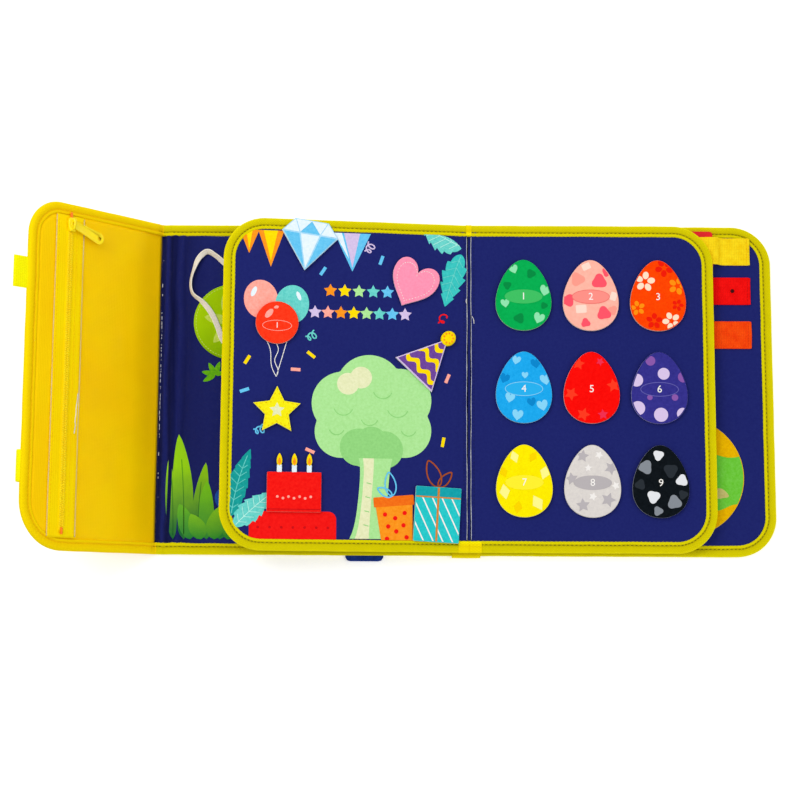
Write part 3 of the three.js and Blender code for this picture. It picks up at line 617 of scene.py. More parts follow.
def slab(name, x0, x1, half, radius, front, back, body, material, nodes=(), place=asIs, step=2.4, rows=110,
         fine=()):
    # a soft sheet with two faces: columns run across the page, each as tall as the rounded outline is there, and
    # front and back give the two heights as functions of x and y
    s = 1 if x1 > x0 else -1
    most = max(pair(radius))
    x = columns(x0, x1 - s * most, step, fine)
    if most:
        x = np.concatenate([x[:-1], x1 - s * most + s * most * np.sin(np.linspace(0, np.pi / 2, 26))])
    tall = [half - r + np.sqrt(np.clip(r ** 2 - np.clip(s * (x - x1) + r, 0, None) ** 2, 0, None))
            for r in pair(radius)]
    v = np.linspace(-1, 1, rows)
    v = v + 0.12 * np.sin(np.pi * v) / np.pi * 2
    y = np.where(v > 0, tall[0][:, None], tall[1][:, None]) * v
    gx = np.broadcast_to(x[:, None], y.shape)
    grid = np.concatenate([stacked(gx, y, front(gx, y)), stacked(gx, y, back(gx, y))[:, ::-1]], 1)
    return piece(name, grid, sheetFaces(*grid.shape[:2]), body, material, nodes, place=place)


def plate(name, outline, low, high, body, material, edge=0.6, crown=0.0, nodes=(), slot=None, place=asIs, centre=None,
          pale=None, inner=4):
    # a cut piece of felt or plastic: its outline goes up, rolls over a small round edge and runs in to its centre
    outline = np.asarray(outline, float)
    centre = outline.mean(0) if centre is None else np.asarray(centre, float)
    nxt = np.roll(outline, -1, 0)
    normal = -leftOf(normed(nxt - np.roll(outline, 1, 0)))
    area = 0.5 * np.sum(outline[:, 0] * nxt[:, 1] - outline[:, 1] * nxt[:, 0])
    normal = normal if area > 0 else -normal
    loops = [(outline - normal * edge * 0.4, low), (outline, low + edge * 0.4)]
    for r in (0.0, 0.35, 0.7, 1.0):
        a = r * np.pi / 2
        loops.append((outline - normal * edge * (1 - math.cos(a)), high - edge + edge * math.sin(a)))
    rim = loops[-1][0]
    for k in range(1, inner):
        share = k / inner
        loops.append((centre + (rim - centre) * (1 - share), high + crown * (1 - (1 - share) ** 2)))
    points = np.concatenate([atHeight(p, z) for p, z in loops] + [[[*centre, high + crown]]])
    n, m = len(loops), len(outline)
    faces = gridFaces(n, m, True) + [list(range(m))[::-1]]
    faces += [[(n - 1) * m + k, (n - 1) * m + (k + 1) % m, n * m] for k in range(m)]
    marks = None
    if pale is not None:
        side = 3 * m      # the wall and the first of the rolled edge show the pale cut
        marks = [1] * side + [0] * (m * (n - 1) - side) + [1] + [0] * m
        material = [material, pale]
    made = piece(name, points, faces, body, material, nodes, marks=marks, place=place)
    made.data.set_sharp_from_angle(angle=math.radians(50))     # flat faces stay flat where they meet at more than this


def printed(name, outlines, level, body, material, thickness=0.12, place=asIs):
    # thin transfer print: flat shapes a hair above the felt, neighbours at eleven heights so that they may overlap
    points, faces, start = [], [], 0
    for k, outline in enumerate(outlines):
        m = len(outline)
        if m < 3:
            continue
        low = level + 0.015 * (k % 11)
        points += [atHeight(outline, low), atHeight(outline, low + thickness)]
        faces += [[start + i, start + (i + 1) % m, start + m + (i + 1) % m, start + m + i] for i in range(m)]
        faces += [list(range(start, start + m))[::-1], list(range(start + m, start + 2 * m))]
        start += 2 * m
    piece(name, np.concatenate(points), faces, body, material, smooth=False, place=place)


def turnedShape(points, degrees, x, y):
    a = math.radians(degrees)
    p = np.asarray(points, float)
    return stacked(x + p[:, 0] * math.cos(a) - p[:, 1] * math.sin(a), y + p[:, 0] * math.sin(a) + p[:, 1] * math.cos(a))


def circle(x, y, r, n=40, ry=None, turn=0.0):
    t = around(n)
    return turnedShape(stacked(r * np.cos(t), (ry or r) * np.sin(t)), turn, x, y)


def star(x, y, r, waist=0.52, turn=90.0):
    k = np.arange(10)
    t = math.radians(turn) + k * np.pi / 5
    reach = np.where(k % 2 == 0, r, r * waist)
    return stacked(x + reach * np.cos(t), y + reach * np.sin(t))


def finer(outline, step=2.0):
    # the same closed outline with points no further apart than step
    p = np.asarray(outline, float)
    shares = lambda side: np.linspace(0, 1, max(1, int(np.linalg.norm(side) / step)), endpoint=False)[:, None]
    return np.concatenate([a + (b - a) * shares(b - a) for a, b in zip(p, np.roll(p, -1, 0))])


def clipped(shape, outline):
    # the part of a shape inside a convex outline: the shape is cut by each of its sides in turn
    kept = np.asarray(shape, float)
    ring = np.asarray(outline, float)
    for a, b in zip(ring, np.roll(ring, -1, 0)):
        if not len(kept):
            return kept
        side = (b[0] - a[0]) * (kept[:, 1] - a[1]) - (b[1] - a[1]) * (kept[:, 0] - a[0])
        out = []
        for k in range(len(kept)):
            p, q, sp, sq = kept[k - 1], kept[k], side[k - 1], side[k]
            if (sp >= 0) != (sq >= 0):
                out.append(p + (q - p) * sp / (sp - sq))
            if sq >= 0:
                out.append(q)
        kept = np.array(out).reshape(-1, 2)
    return kept


def merged(circles, x, y, n=160):
    # the outline of circles that share the point x, y: along each ray the furthest crossing with any circle
    t = around(n)
    ray = stacked(np.cos(t), np.sin(t))
    reach = np.zeros(n)
    for cx, cy, r in circles:
        along = ray[:, 0] * (cx - x) + ray[:, 1] * (cy - y)
        inside = r * r - ((cx - x) ** 2 + (cy - y) ** 2 - along ** 2)
        reach = np.maximum(reach, np.where(inside > 0, along + np.sqrt(np.maximum(inside, 0)), 0))
    return np.array([x, y]) + ray * reach[:, None]


def ribbon(line, width):
    # a flat band of even width along a line of points
    p = np.asarray(line, float)
    side = leftOf(normed(np.gradient(p, axis=0))) * width / 2
    return np.concatenate([p + side, (p - side)[::-1]])


def smoothRoute(points, each=10):
    # a centripetal Catmull-Rom curve through the points: each span blends four points by the root of their spacing
    p = np.asarray(points, float)
    p = np.vstack([2 * p[0] - p[1], p, 2 * p[-1] - p[-2]])
    out = []
    for k in range(1, len(p) - 2):
        four = p[k - 1:k + 3]
        t = np.concatenate([[0], np.cumsum(np.sqrt(np.linalg.norm(np.diff(four, axis=0), axis=1)))])
        at = np.linspace(t[1], t[2], each, endpoint=False)[:, None]
        mix = lambda first, second, i, j: (t[j] - at) / (t[j] - t[i]) * first + (at - t[i]) / (t[j] - t[i]) * second
        ab, bc, cd = (mix(four[i], four[i + 1], i, i + 1) for i in range(3))
        out.append(mix(mix(ab, bc, 0, 2), mix(bc, cd, 1, 3), 1, 2))
    return np.vstack(out + [p[-2:-1]])


def almond(x, y, length, wide, degrees, sway):
    # a leaf's outline: its half widths on both sides of a middle line that bends to one side
    t = np.linspace(0, 1, len(wide))
    middle, side = stacked(sway * length * t ** 2, length * t), stacked(wide, 0)
    return turnedShape(np.concatenate([middle + side, (middle - side)[::-1][1:-1]]), degrees, x, y)


def blade(x, y, length, width, degrees, sway=0.0, n=14):
    # one plain leaf blade
    return almond(x, y, length, width / 2 * np.sin(np.pi * np.linspace(0, 1, n) ** 0.8) ** 0.7, degrees, sway)


def roundedBox(x0, x1, y0, y1, r, n=6):
    # a rectangle with rounded corners, counter-clockwise
    t = np.linspace(0, np.pi / 2, n)
    corners = ((x1 - r, y1 - r, 0), (x0 + r, y1 - r, 1), (x0 + r, y0 + r, 2), (x1 - r, y0 + r, 3))
    return np.concatenate([stacked(cx + r * np.cos(t + a * np.pi / 2), cy + r * np.sin(t + a * np.pi / 2))
                           for cx, cy, a in corners])


def flatSection(n, wide, wideShare, tall, tallShare):
    # a flattened oval: sine and cosine, each drawn out to a power under one
    t = around(n)
    spread = lambda v, share: np.sign(v) * np.abs(v) ** share
    return wide * spread(np.cos(t), wideShare), tall * spread(np.sin(t), tallShare)


# ---- left page: flat lace in a loop, both ends sewn under a strip

lace = {"width": 5.2, "thick": 1.2, "level": 9.0, "route": [
    [-206.3, 106], [-212, 106], [-219, 110.5], [-229, 117.2], [-237, 124], [-245.3, 128.4], [-252.7, 122.8],
    [-257.5, 112], [-260.5, 99], [-258.5, 88.5], [-249, 80.2], [-240.3, 69.4], [-234.4, 57], [-229.5, 44.5],
    [-221, 35.5], [-212, 33], [-206.3, 33]]}


def addLace():
    # the flat lace is carried along its route and rolls on to its side where it bends round, then lies flat again
    ivory = tapeMaterial("ivoryFlatLace", [(0.0, "#f6efe4"), (1.0, "#fdf8f0"), (0.5, "#efe6d8")], 1.9, 0.003)
    path = smoothRoute(lace["route"])
    length = distances(path)
    across = leftOf(normed(np.gradient(path, axis=0)))
    wide, tall = flatSection(20, lace["width"] / 2, 0.4, lace["thick"] / 2, 0.7)
    roll = (np.radians(62) * np.exp(-((length - 84) / 24) ** 4) - np.radians(40) * bell(length, 38, 14))[:, None]
    flat = path[:, None, :] + across[:, None, :] * (wide * np.cos(roll) - tall * np.sin(roll))[:, :, None]
    height = lace["level"] + wide * np.sin(roll) + tall * np.cos(roll)
    made = piece("flat_lace", np.concatenate([flat, height[:, :, None]], -1), tubeFaces(len(path), 20), "left_cover",
                 ivory, ["lace"], uv=stacked(length[:, None], np.abs(wide)))
    print("lace length", round(length[-1], 1), "mm")


addLace()
print("lace made")


# ---- inner leaves: two felt pages round a board, bound on three sides and sewn in at the gutter

leaf = {"gutter": 0.3, "x1": 227.0, "half": 152.5, "radius": 38.0, "low": 13.7, "middle": 16.2, "face": 18.7,
        "inset": 1.6, "board": (6.6, 2.2)}       # the board's near edge and how far the page takes to rise over it


def leafRim(x, y, s):
    return fall(rimDistance(x, y, s * leaf["gutter"], s * leaf["x1"], leaf["half"], leaf["radius"]), 9.2, 2.8)


def leafFront(x, y, s):
    # the page is drawn down under the tape, rolls over at the gutter, and is pressed in along the two seams there
    a = np.abs(x)
    gutter = 1.3 * fall(a, 1.2, 2.4) + 0.4 * bell(a, 4.4, 0.7) + 0.35 * bell(a, 8.2, 1.6)
    return leaf["face"] - 1.2 * leafRim(x, y, s) - gutter + 0.07 * np.sin(x / 23 + y / 41) * np.sin(y / 17)


def leafBack(x, y, s):
    # thin beside the gutter, where the leaf has no board, and full beyond it
    return leaf["low"] + 3.8 * fall(np.abs(x), *leaf["board"]) + 1.0 * leafRim(x, y, s)


def leafBend(side, s, place):
    # the names of each leaf's margin and leaf, with two places a few millimetres beside the gutter between them
    return bend(f"{side}_margin", f"{side}_leaf", s * 5.4, s * 10.4, leaf["face"], place)


def addLeaf(side, s, place):
    body = leafBend(side, s, place)
    level = lambda lift: (lambda x, y: leaf["middle"] + lift + 1.35 * fall(np.abs(x), *leaf["board"]))
    front, back = (lambda x, y: leafFront(x, y, s)), (lambda x, y: leafBack(x, y, s))
    sheets = (("page", front, level(0.02), [f"{side}_leaf_page", f"{side}_gutter_margin"]),
              ("back", level(-0.02), back, [f"{side}_leaf_back"]))
    for word, above, below, nodes in sheets:
        slab(f"{side}_{word}_felt", s * 1.5, s * (leaf["x1"] - leaf["inset"]), leaf["half"] - leaf["inset"],
             leaf["radius"] - leaf["inset"], above, below, body, "navyFelt", nodes, place,
             fine=[(s * 5.0, 7.0, 0.7)])
    route = uOutline(s * leaf["gutter"], s * leaf["x1"], leaf["half"], leaf["radius"])
    bindingPiece(f"{side}_page_binding", route, leafTape, body, limeTape, darkThread, [f"{side}_leaf_binding"], place,
                 0.12, 3 if s > 0 else 4)
    # the seam to the spine's web, and the pale core of the felt showing along its cut edge
    stitchRow(f"{side}_gutter_stitches", stacked(s * 4.4, np.arange(-138, 138, 3.4), leaf["face"] - 0.45), (0, 1), body,
              navyThread, (2.4, 0.8, 0.5), place)
    along, t = np.linspace(-141, 141, 160)[:, None], around(8)
    wander = 0.25 * np.sin(along / 29 + s) + 0.12 * np.sin(along / 7.3)
    thick = 0.42 * (0.75 + 0.25 * np.sin(along / 5.1 + 2 * s) * np.sin(along / 13.7))
    grid = stacked(s * 1.75 + wander + thick * np.cos(t), along, 17.75 + thick * np.sin(t))
    piece(f"{side}_cut_edge", grid, tubeFaces(160, 8), body, "undyedFeltCore", place=place)


def addLooseThreads():
    # two short thread ends standing up beside the gutter
    ends = (("left_margin", leafPlace, [(-2.2, 82.5), (-2.6, 79.6), (-1.9, 77.8)]),
            ("right_margin", asIs, [(2.6, 66), (4.0, 62.5), (4.4, 59.0)]))
    for k, (body, place, line) in enumerate(ends):
        path, t = smoothRoute(line, 8), around(6)
        height = 18.2 + 1.2 * np.sin(np.linspace(0, np.pi, len(path)))
        grid = stacked(path[:, :1] + 0.3 * np.cos(t), path[:, 1:], height[:, None] + 0.3 * np.sin(t))
        piece(f"loose_thread_{k + 1}", grid, tubeFaces(len(path), 6), body, whiteThread, place=place)


leaves = (("left", -1, leafPlace), ("right", 1, asIs))
for side, s, place in leaves:
    addLeaf(side, s, place)
addLooseThreads()
print("leaves made")


# ---- covers and spine: each cover runs on over its fold to the middle of the spine

cover = {"half": 155.0, "edge": 283.5, "radius": 37.0, "face": 6.0, "spine": 1.9, "rim": 2.6, "fold": (19.5, 8)}
leftFold = bend("left_cover", "spine", -27.0, -17.0, 1.2)
rightFold = bend("spine", "right_cover", 17.0, 27.0, 1.2)


def coverFace(x, y, inside, uneven):
    # the felt is drawn down to the binding, where it lies a little unevenly, and drops on its way over the fold to
    # the thin spine, which has three soft ridges
    a = np.abs(x)
    rim = cover["rim"] * fall(inside, 8.8, 3.4)
    drop = (cover["face"] - cover["spine"]) * fall(a, *cover["fold"]) - 0.25 * np.cos(x / 3.4) * fall(a, 14, 5)
    near = np.exp(-np.clip(cover["half"] - np.abs(y) - 10, 0, None) / 14)
    ripples = 0.16 * near * (np.sin(x / 6.3 + np.sign(y)) + np.sin(x / 3.9 + 2))
    return cover["face"] - rim - drop * (1 - 0.5 * rim / cover["rim"]) + uneven * ripples


def leftFront(x, y):
    # page felt over the board; a soft strip with long folds beside the flap's fold
    soft = rise(-x, 256, 10)
    a, b, c = 1.8 * np.sin(y / 47), 1.4 * np.sin(y / 35 + 1), 1.2 * np.sin(y / 40)
    folds = 1.25 * bell(x + a, -272.5, 2.0) + 0.8 * bell(x - b, -264, 1.8) + 0.5 * bell(x + c, -281, 1.3)
    swell = 0.7 * bell(x + c, -277, 2.2) + 0.4 * bell(x, -268.5, 1.8)
    face = coverFace(x, y, cover["half"] - np.abs(y), 0.4 + soft) - soft * (folds - swell) - 4.6 * rise(-x, 283.4, 4.4)
    return np.maximum(face, 1.6 - 0.7 * fall(np.abs(x), *cover["fold"]))


def rightFront(x, y):
    return coverFace(x, y, rimDistance(x, y, 0.0, cover["edge"], cover["half"], cover["radius"]), 0.5)


def clothBack(inside, wave):
    # outer cloth lying on the table, drawn up at its rim, with faint hollows
    return 0.06 + 0.9 * fall(inside, 0, 3) + 0.05 * wave


def leftBack(x, y):
    return clothBack(152.5 - np.abs(y), np.sin(x / 21) * np.sin(y / 33 + 1) ** 2)


def rightBack(x, y):
    return clothBack(rimDistance(x, y, 0, 283.5, 155, 37) - 2.2, np.sin(x / 21) * np.sin(y / 33) ** 2)


def addCovers():
    middle = lambda lift: (lambda x, y: 1.5 + lift - 0.6 * fall(np.abs(x), *cover["fold"]))
    near = [(-22.0, 7.0, 0.9), (-271.0, 17.0, 0.9)]
    slab("left_cover_felt", -0.05, -287.8, 152.6, 0, leftFront, middle(0.02), leftFold, leftPageShadedFelt, ["left_page"],
         rows=120, fine=near)
    slab("left_cover_cloth", -0.05, -288.2, 152.6, 0, middle(-0.02), leftBack, leftFold, navyCloth,
         ["left_cover_shell", "spine_panel"], fine=near[:1])
    near = [(22.0, 7.0, 0.9)]
    slab("right_cover_felt", 0.05, 282.0, 153.0, 35.5, rightFront, middle(0.02), rightFold, "navyFelt", ["right_page"],
         rows=120, fine=near)
    slab("right_cover_cloth", 0.05, 282.0, 153.0, 35.5, middle(-0.02), rightBack, rightFold, navyCloth,
         ["right_cover_shell"], fine=near)
    for word, edge in (("top", 1), ("bottom", -1)):
        bindingPiece(f"left_cover_binding_{word}", straightEdge(0.0, -281.0, edge * cover["half"]), coverTape, leftFold,
                     limeTape, darkThread, [f"left_binding_{word}"], ripple=0.42 + 0.1 * edge, seed=12 + edge)
    bindingPiece("right_cover_binding_tape", uOutline(0.0, cover["edge"], cover["half"], cover["radius"]), coverTape,
                 rightFold, limeTape, darkThread, ["right_cover_binding"], ripple=0.14, seed=21)
    # the turned-over joint where one tape ends on the other, at the bottom near the gutter, its tape brighter than the
    # binding as painted light
    bindingPiece("cover_binding_lap", straightEdge(-15.6, 10.6, -156.9, 0.9), (0.1, 6.1), "spine", litLapTape, goldThread,
                 seed=33)


def addLaps():
    # at each end of both leaves' bindings, a patch of tape a little above the binding: rows along x, with the tape's
    # own section across; near and far are its ends from the gutter
    inward, z = tapeProfile(*leafTape)[:18].T
    uv = stacked(np.linspace(0, 8, 16)[:, None], np.concatenate([inward, inward[::-1]]))
    for (side, s, place), near, reach in zip(leaves, (-0.5, 0.1), ((9.8, 2.6), (11.4, 2.2))):
        for word, edge, far in (("bottom", -1, reach[0]), ("top", 1, reach[1])):
            top = stacked(np.linspace(s * near, s * far, 16)[:, None], edge * (152.8 - inward), z + 0.5)
            grid = np.concatenate([top, top[:, ::-1] + [0, 0, -0.7]], 1)
            # the laps take the brighter copy of the tape's colour: painted light
            piece(f"{side}_binding_lap_{word}", grid, sheetFaces(16, 36), leafBend(side, s, place), litLapTape,
                  uv=uv, place=place)


def addWeb():
    # the sewn web that stands on the spine and carries both leaves: wider at its foot
    z = np.linspace(1.5, 17.2, 14)[:, None]
    left = stacked(-1.0 - 0.6 * np.exp(-(z - 1.5) / 2), np.linspace(-148, 148, 80), z)
    grid = np.concatenate([left, (left * [-1, 1, 1])[:, ::-1]], 1)
    piece("spine_web", grid, sheetFaces(*grid.shape[:2]), "spine", navyCloth)


addCovers()
addLaps()
addWeb()
print("covers and spine made")


# ---- flap: gusset and panel as one lined sheet, zip and clear pocket, all built flat and then stood up

flap = {"gusset": -341.5, "edge": -438.0, "half": 155.0, "radius": (33.0, 44.0), "hinge": (-281.0, -296.0)}
flapBend = bend("gusset", "flap", -333.5, -349.5, 1.2, flapPlace)
hingeBend = bend("left_cover", "gusset", *flap["hinge"], 1.2)
nearGusset = [(flap["gusset"], 9.0, 1.0)]


def flapRim(x, y):
    return rimDistance(x, y, flap["hinge"][1], flap["edge"], flap["half"], flap["radius"])


def flapFront(x, y):
    # lining: thin at the hinge, rising over the gusset to the padded panel, drawn down under the binding
    out = rise(-x, 293, 30)
    rim = (0.3 + 2.0 * out) * fall(flapRim(x, y), 8.8, 3.2)
    return 1.9 + 3.0 * out - rim + 0.14 * np.sin(y / 31 + x / 17) + 0.1 * np.sin(y / 12 - x / 9)


def flapBack(x, y):
    return clothBack(flapRim(x, y) - 2.4, np.sin(x / 19) * np.sin(y / 27) ** 2)


def addFlapSheets():
    middle = lambda lift: (lambda x, y: 1.0 + lift + 1.2 * rise(-x, 293, 30))
    for name, x0, above, below, nodes in (
            ("flap_lining_cloth", -290.6, flapFront, middle(0.02), ["flap_lining", "gusset_panel"]),
            ("flap_outer_cloth", -290.2, middle(-0.02), flapBack, ["flap_shell"])):
        slab(name, x0, -436.0, 153.0, (31.0, 42.0), above, below, flapBend, flapCloth, nodes, flapPlace,
             fine=nearGusset)
    route = uOutline(flap["hinge"][1], flap["edge"], flap["half"], flap["radius"])
    bindingPiece("flap_binding_tape", route, coverTape, flapBend, warmTape, goldThread, ["flap_binding"], flapPlace,
                 0.14, 51)


def addHinge():
    # the fold beside the left cover: cloth between the two sheets, its dark colour painted shade of the fold, the
    # bindings running over it, and white dashes along the film's fold that are painted glints
    top = lambda x, y: 1.75 + 0.12 * np.sin(y / 9) - 0.5 * bell(x, -288.6, 1.2)
    slab("flap_hinge_cloth", -283.5, -294.5, 153.2, 0, top, lambda x, y: 0.08 + 0 * x, hingeBend, navyHingeShadeCloth,
         place=hingePlace, step=0.7)
    for word, edge in (("top", 1), ("bottom", -1)):
        bindingPiece(f"flap_hinge_binding_{word}", straightEdge(*flap["hinge"], edge * flap["half"], 0.7), (0.35, 5.1),
                     hingeBend, [limeTape, warmTape], darkThread, (), hingePlace, 0.25, 61 + edge, -288.8)
    # short white marks along the film's fold: painted glints
    rng = np.random.default_rng(77)
    spots = np.concatenate([np.linspace(70, -46, 30) + rng.uniform(-1.6, 1.6, 30), [97, 88, 121, -62, -80, -84, -102]])
    shape, faces = lens(1.0, 0.8, 0.5)
    points, every = [], []
    for k, y in enumerate(spots):
        size = rng.uniform(1.4, 4.6)
        x = -287.7 + rng.uniform(-0.35, 0.35)
        points.append(stacked(x + shape[:, 1], y + shape[:, 0] * size, 1.95 + shape[:, 2]))
        every += [[v + k * len(shape) for v in f] for f in faces]
    piece("film_fold_painted_glints", np.concatenate(points), every, hingeBend, filmGlintPaint, place=hingePlace)


def addTape(name, x0, x1, low, high, half, material, nodes=()):
    # a flat tape lying along Y on the flap, with rounded long edges
    wide, tall = flatSection(20, abs(x1 - x0) / 2, 0.12, (high - low) / 2, 0.5)
    y = np.linspace(-half, half, 120)[:, None]
    grid = stacked((x0 + x1) / 2 + wide + 0.12 * np.sin(y / 23 + x0), y, (low + high) / 2 + tall)
    piece(name, grid, tubeFaces(120, 20), "flap", material, nodes, place=flapPlace)


def addFilm():
    # one clear sheet from the hinge to the zip, slightly wavy, with its welded edges beside the zip tape
    wave = lambda x, y: 0.22 * np.sin(x / 11 + 0.4 * np.sin(y / 33)) * np.sin(y / 61 + 0.8) * rise(-x, 292, 10)
    low = lambda x, y: 2.4 + 3.15 * rise(-x, 291, 26) + wave(x, y)
    slab("pocket_film", -290.0, -382.4, 143.8, 0, lambda x, y: low(x, y) + 0.3, low, flapBend, clearFilm,
         ["pocket_window", "gusset_window"], flapPlace, 1.8, fine=nearGusset)
    for word, x, wide in (("near", -382.0, 0.45), ("far", -411.2, 0.4)):
        addTape(f"film_weld_{word}", x - wide, x + wide, 5.7, 6.25, 142.5, weldedFilm)
    # short white marks beside the near weld: painted glints on the film
    y = np.linspace(-17, -50, 12)
    places = stacked(-383.6 + 0.06 * (y + 17) + np.random.default_rng(5).uniform(-0.4, 0.4, 12), y, 6.2)
    stitchRow("film_painted_glints", places, (0.08, 1), "flap", filmGlintPaint, (3.6, 1.1, 0.4), flapPlace)


zipper = {"x": -396.5, "y0": -136.0, "y1": 142.0, "pitch": 2.0, "sliderY": 135.0}


def addZip():
    x, pitch = zipper["x"], zipper["pitch"]
    addTape("zip_tape_woven", x - 14, x + 14, 5.3, 6.1, 143.6, zipTape, ["zip_tape"])
    addTape("zip_coil_bed", x - 3.2, x + 3.2, 5.9, 6.45, 139.0, zipTape)
    y = np.arange(zipper["y0"], zipper["y1"], pitch)
    places = np.concatenate([stacked(x + s * 1.4, y + (pitch / 2 if s > 0 else 0), 6.6) for s in (1, -1)])
    made = stitchRow("zip_coil", places, (1, 0), "flap", zipTeeth, (3.4, 1.5, 1.1), flapPlace)
    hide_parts("zip_chain")
    for word, off in (("in", 12.2), ("out", -12.2), ("mid", 7.2)):
        stitchRow(f"zip_tape_seam_{word}", stacked(x + off, np.linspace(-139, 139, 75), 6.12), (0, 1), "flap",
                  goldThread, (2.4, 0.6, 0.4), flapPlace)
    for word, y0 in (("top", 143.4), ("bottom", -137.6)):
        plate(f"zip_stop_{word}", roundedBox(x - 1.6, x + 0.6, y0 - 3.2, y0 + 3.0, 0.9), 6.9, 8.3, "flap", orangeStop,
              0.5, 0.1, place=flapPlace)


def addPull():
    # the pull is the hull of a small and a large circle with a raised rim, a hole near its free end, and a dimple
    x, y, end = zipper["x"], zipper["sliderY"], 28.5
    t = np.linspace(-np.pi / 2, np.pi / 2, 26)
    half = stacked(np.cos(t), np.sin(t))
    outer = finer(np.concatenate([[end, 0] + 5.4 * half, -3.4 * half]), 0.8)
    n, middle = len(outer), [end + 0.6, 0]
    spokes = 1.8 * stacked(np.cos(around(n) - np.pi / 2), np.sin(around(n) - np.pi / 2))
    hole = middle + spokes
    inward = normed(outer.mean(0) - outer)
    loops = [(hole, 10.4), (outer + inward * 0.3, 10.35), (outer, 10.8), (outer, 11.2), (outer + inward * 0.35, 11.6),
             (outer + inward * 1.1, 11.65), (outer + inward * 1.5, 11.45), (hole + spokes * 0.4, 11.45),
             (hole + spokes * 0.18, 11.6), (hole, 11.5)]
    grid = np.concatenate([atHeight(turnedShape(p, -17.0, x, y), z) for p, z in loops])
    last = (len(loops) - 1) * n
    faces = gridFaces(len(loops), n, True) + [[last + k, last + (k + 1) % n, (k + 1) % n, k] for k in range(n)]
    piece("zip_pull_tag", grid, faces, "pull", zipPaint, ["zip_pull"], place=flapPlace)
    side = np.array([[2.6, -6.2], [3.9, -3], [4.5, 2], [4.2, 5.2], [2.4, 6.2]])
    body = np.concatenate([[[-2.6, -6.2]], side, (side * [-1, 1])[:0:-1]])
    plate("zip_slider_top", finer(body + [x, y], 1.0), 7.0, 10.0, "slider", zipPaint, 0.9, 0.25, ["zip_slider"],
          "zip_metal", flapPlace)
    t, tube = np.linspace(0, np.pi, 14)[:, None], around(10)
    bridge = stacked(x + 1.2 * np.sin(tube), y + (4.2 + 0.95 * np.cos(tube)) * np.cos(t),
                     9.6 + (3.1 + 0.95 * np.cos(tube)) * np.sin(t))
    piece("zip_slider_bridge", bridge, tubeFaces(14, 10), "slider", zipPaint, place=flapPlace)


def addTabs():
    # two looped webbing tabs on the free edge: the upper one stands out, the lower one hangs down behind the flap
    for word, y0, reach, most, by in (("upper", 86.0, 14.5, 7.0, 1.0), ("lower", -83.0, 13.5, 150.0, 0.5)):
        u = np.linspace(0, 1, 22)
        turn = math.radians(most) * np.minimum(u / by, 1)
        dx, dz = (np.concatenate([[0], np.cumsum(way(turn[1:]))])[:, None] * reach / 21 for way in (np.cos, np.sin))
        wide, tall = flatSection(28, 14, 0.12, 1.1, 0.5)
        thick = np.cos(turn) * (1 - 0.45 * rise(u, 0.93, 0.07))
        grid = stacked(-436.5 - dx - tall * np.sin(turn)[:, None], y0 + wide, 2.2 - dz + tall * thick[:, None])
        piece(f"closure_tab_{word}_web", grid, tubeFaces(22, 28), "flap", tabWeb, [f"closure_tab_{word}"],
              place=flapPlace)


addFlapSheets()
addHinge()
addFilm()
addZip()
addPull()
addTabs()
print("flap made")


# ---- left page: stitched round patch, grass and a sprig

def roundPatch(word, patch, body, material, node, thread, size, pale=None):
    # a round of felt sewn down near its edge
    x, y, r = patch["x"], patch["y"], patch["r"]
    plate(f"{word}_round_patch", circle(x, y, r, patch["points"]), 5.9, 7.8, body, material, 0.7, nodes=[node],
          slot=f"patch_{word}", pale=pale)
    t = around(patch["stitches"])
    ring = stacked(x + (r - patch["seam"]) * np.cos(t), y + (r - patch["seam"]) * np.sin(t), 7.75)
    stitchRow(f"{word}_patch_stitches", ring, stacked(-np.sin(t), np.cos(t)), body, thread, size)


limePatch = {"x": -221.4, "y": 61.8, "r": 35.6, "points": 96, "stitches": 72, "seam": 2.2}
# tufts of grass by the lower edge, lime at their tips and deep green at the foot: level, thickness, points, tones and
# where they run, then each blade's x, length, width, lean and bend
grassFoot = -141
tufts = {
    "tall": (5.9, 0.4, 22, ("#1f6a36", "#96d21a", (-132, -72)),
             [(-262, 97, 19, 1, -0.05), (-272, 74, 11, 3, -0.02), (-249.5, 71, 14, -3, 0.04)]),
    "middle": (6.15, 0.3, 20, ("#2a8038", "#7cca22", (-140, -94)),
               [(-241, 54, 15, 4, 0.06), (-229, 44, 15, -8, 0.1), (-256, 34, 15, 12, -0.1)]),
    "low": (6.35, 0.3, 18, ("#2f8a30", "#8ccc24", (-140, -112)),
            [(-246, 25, 16, 14, -0.15), (-234, 30, 17, -2, 0.1), (-222, 26, 15, -16, 0.1)]),
}


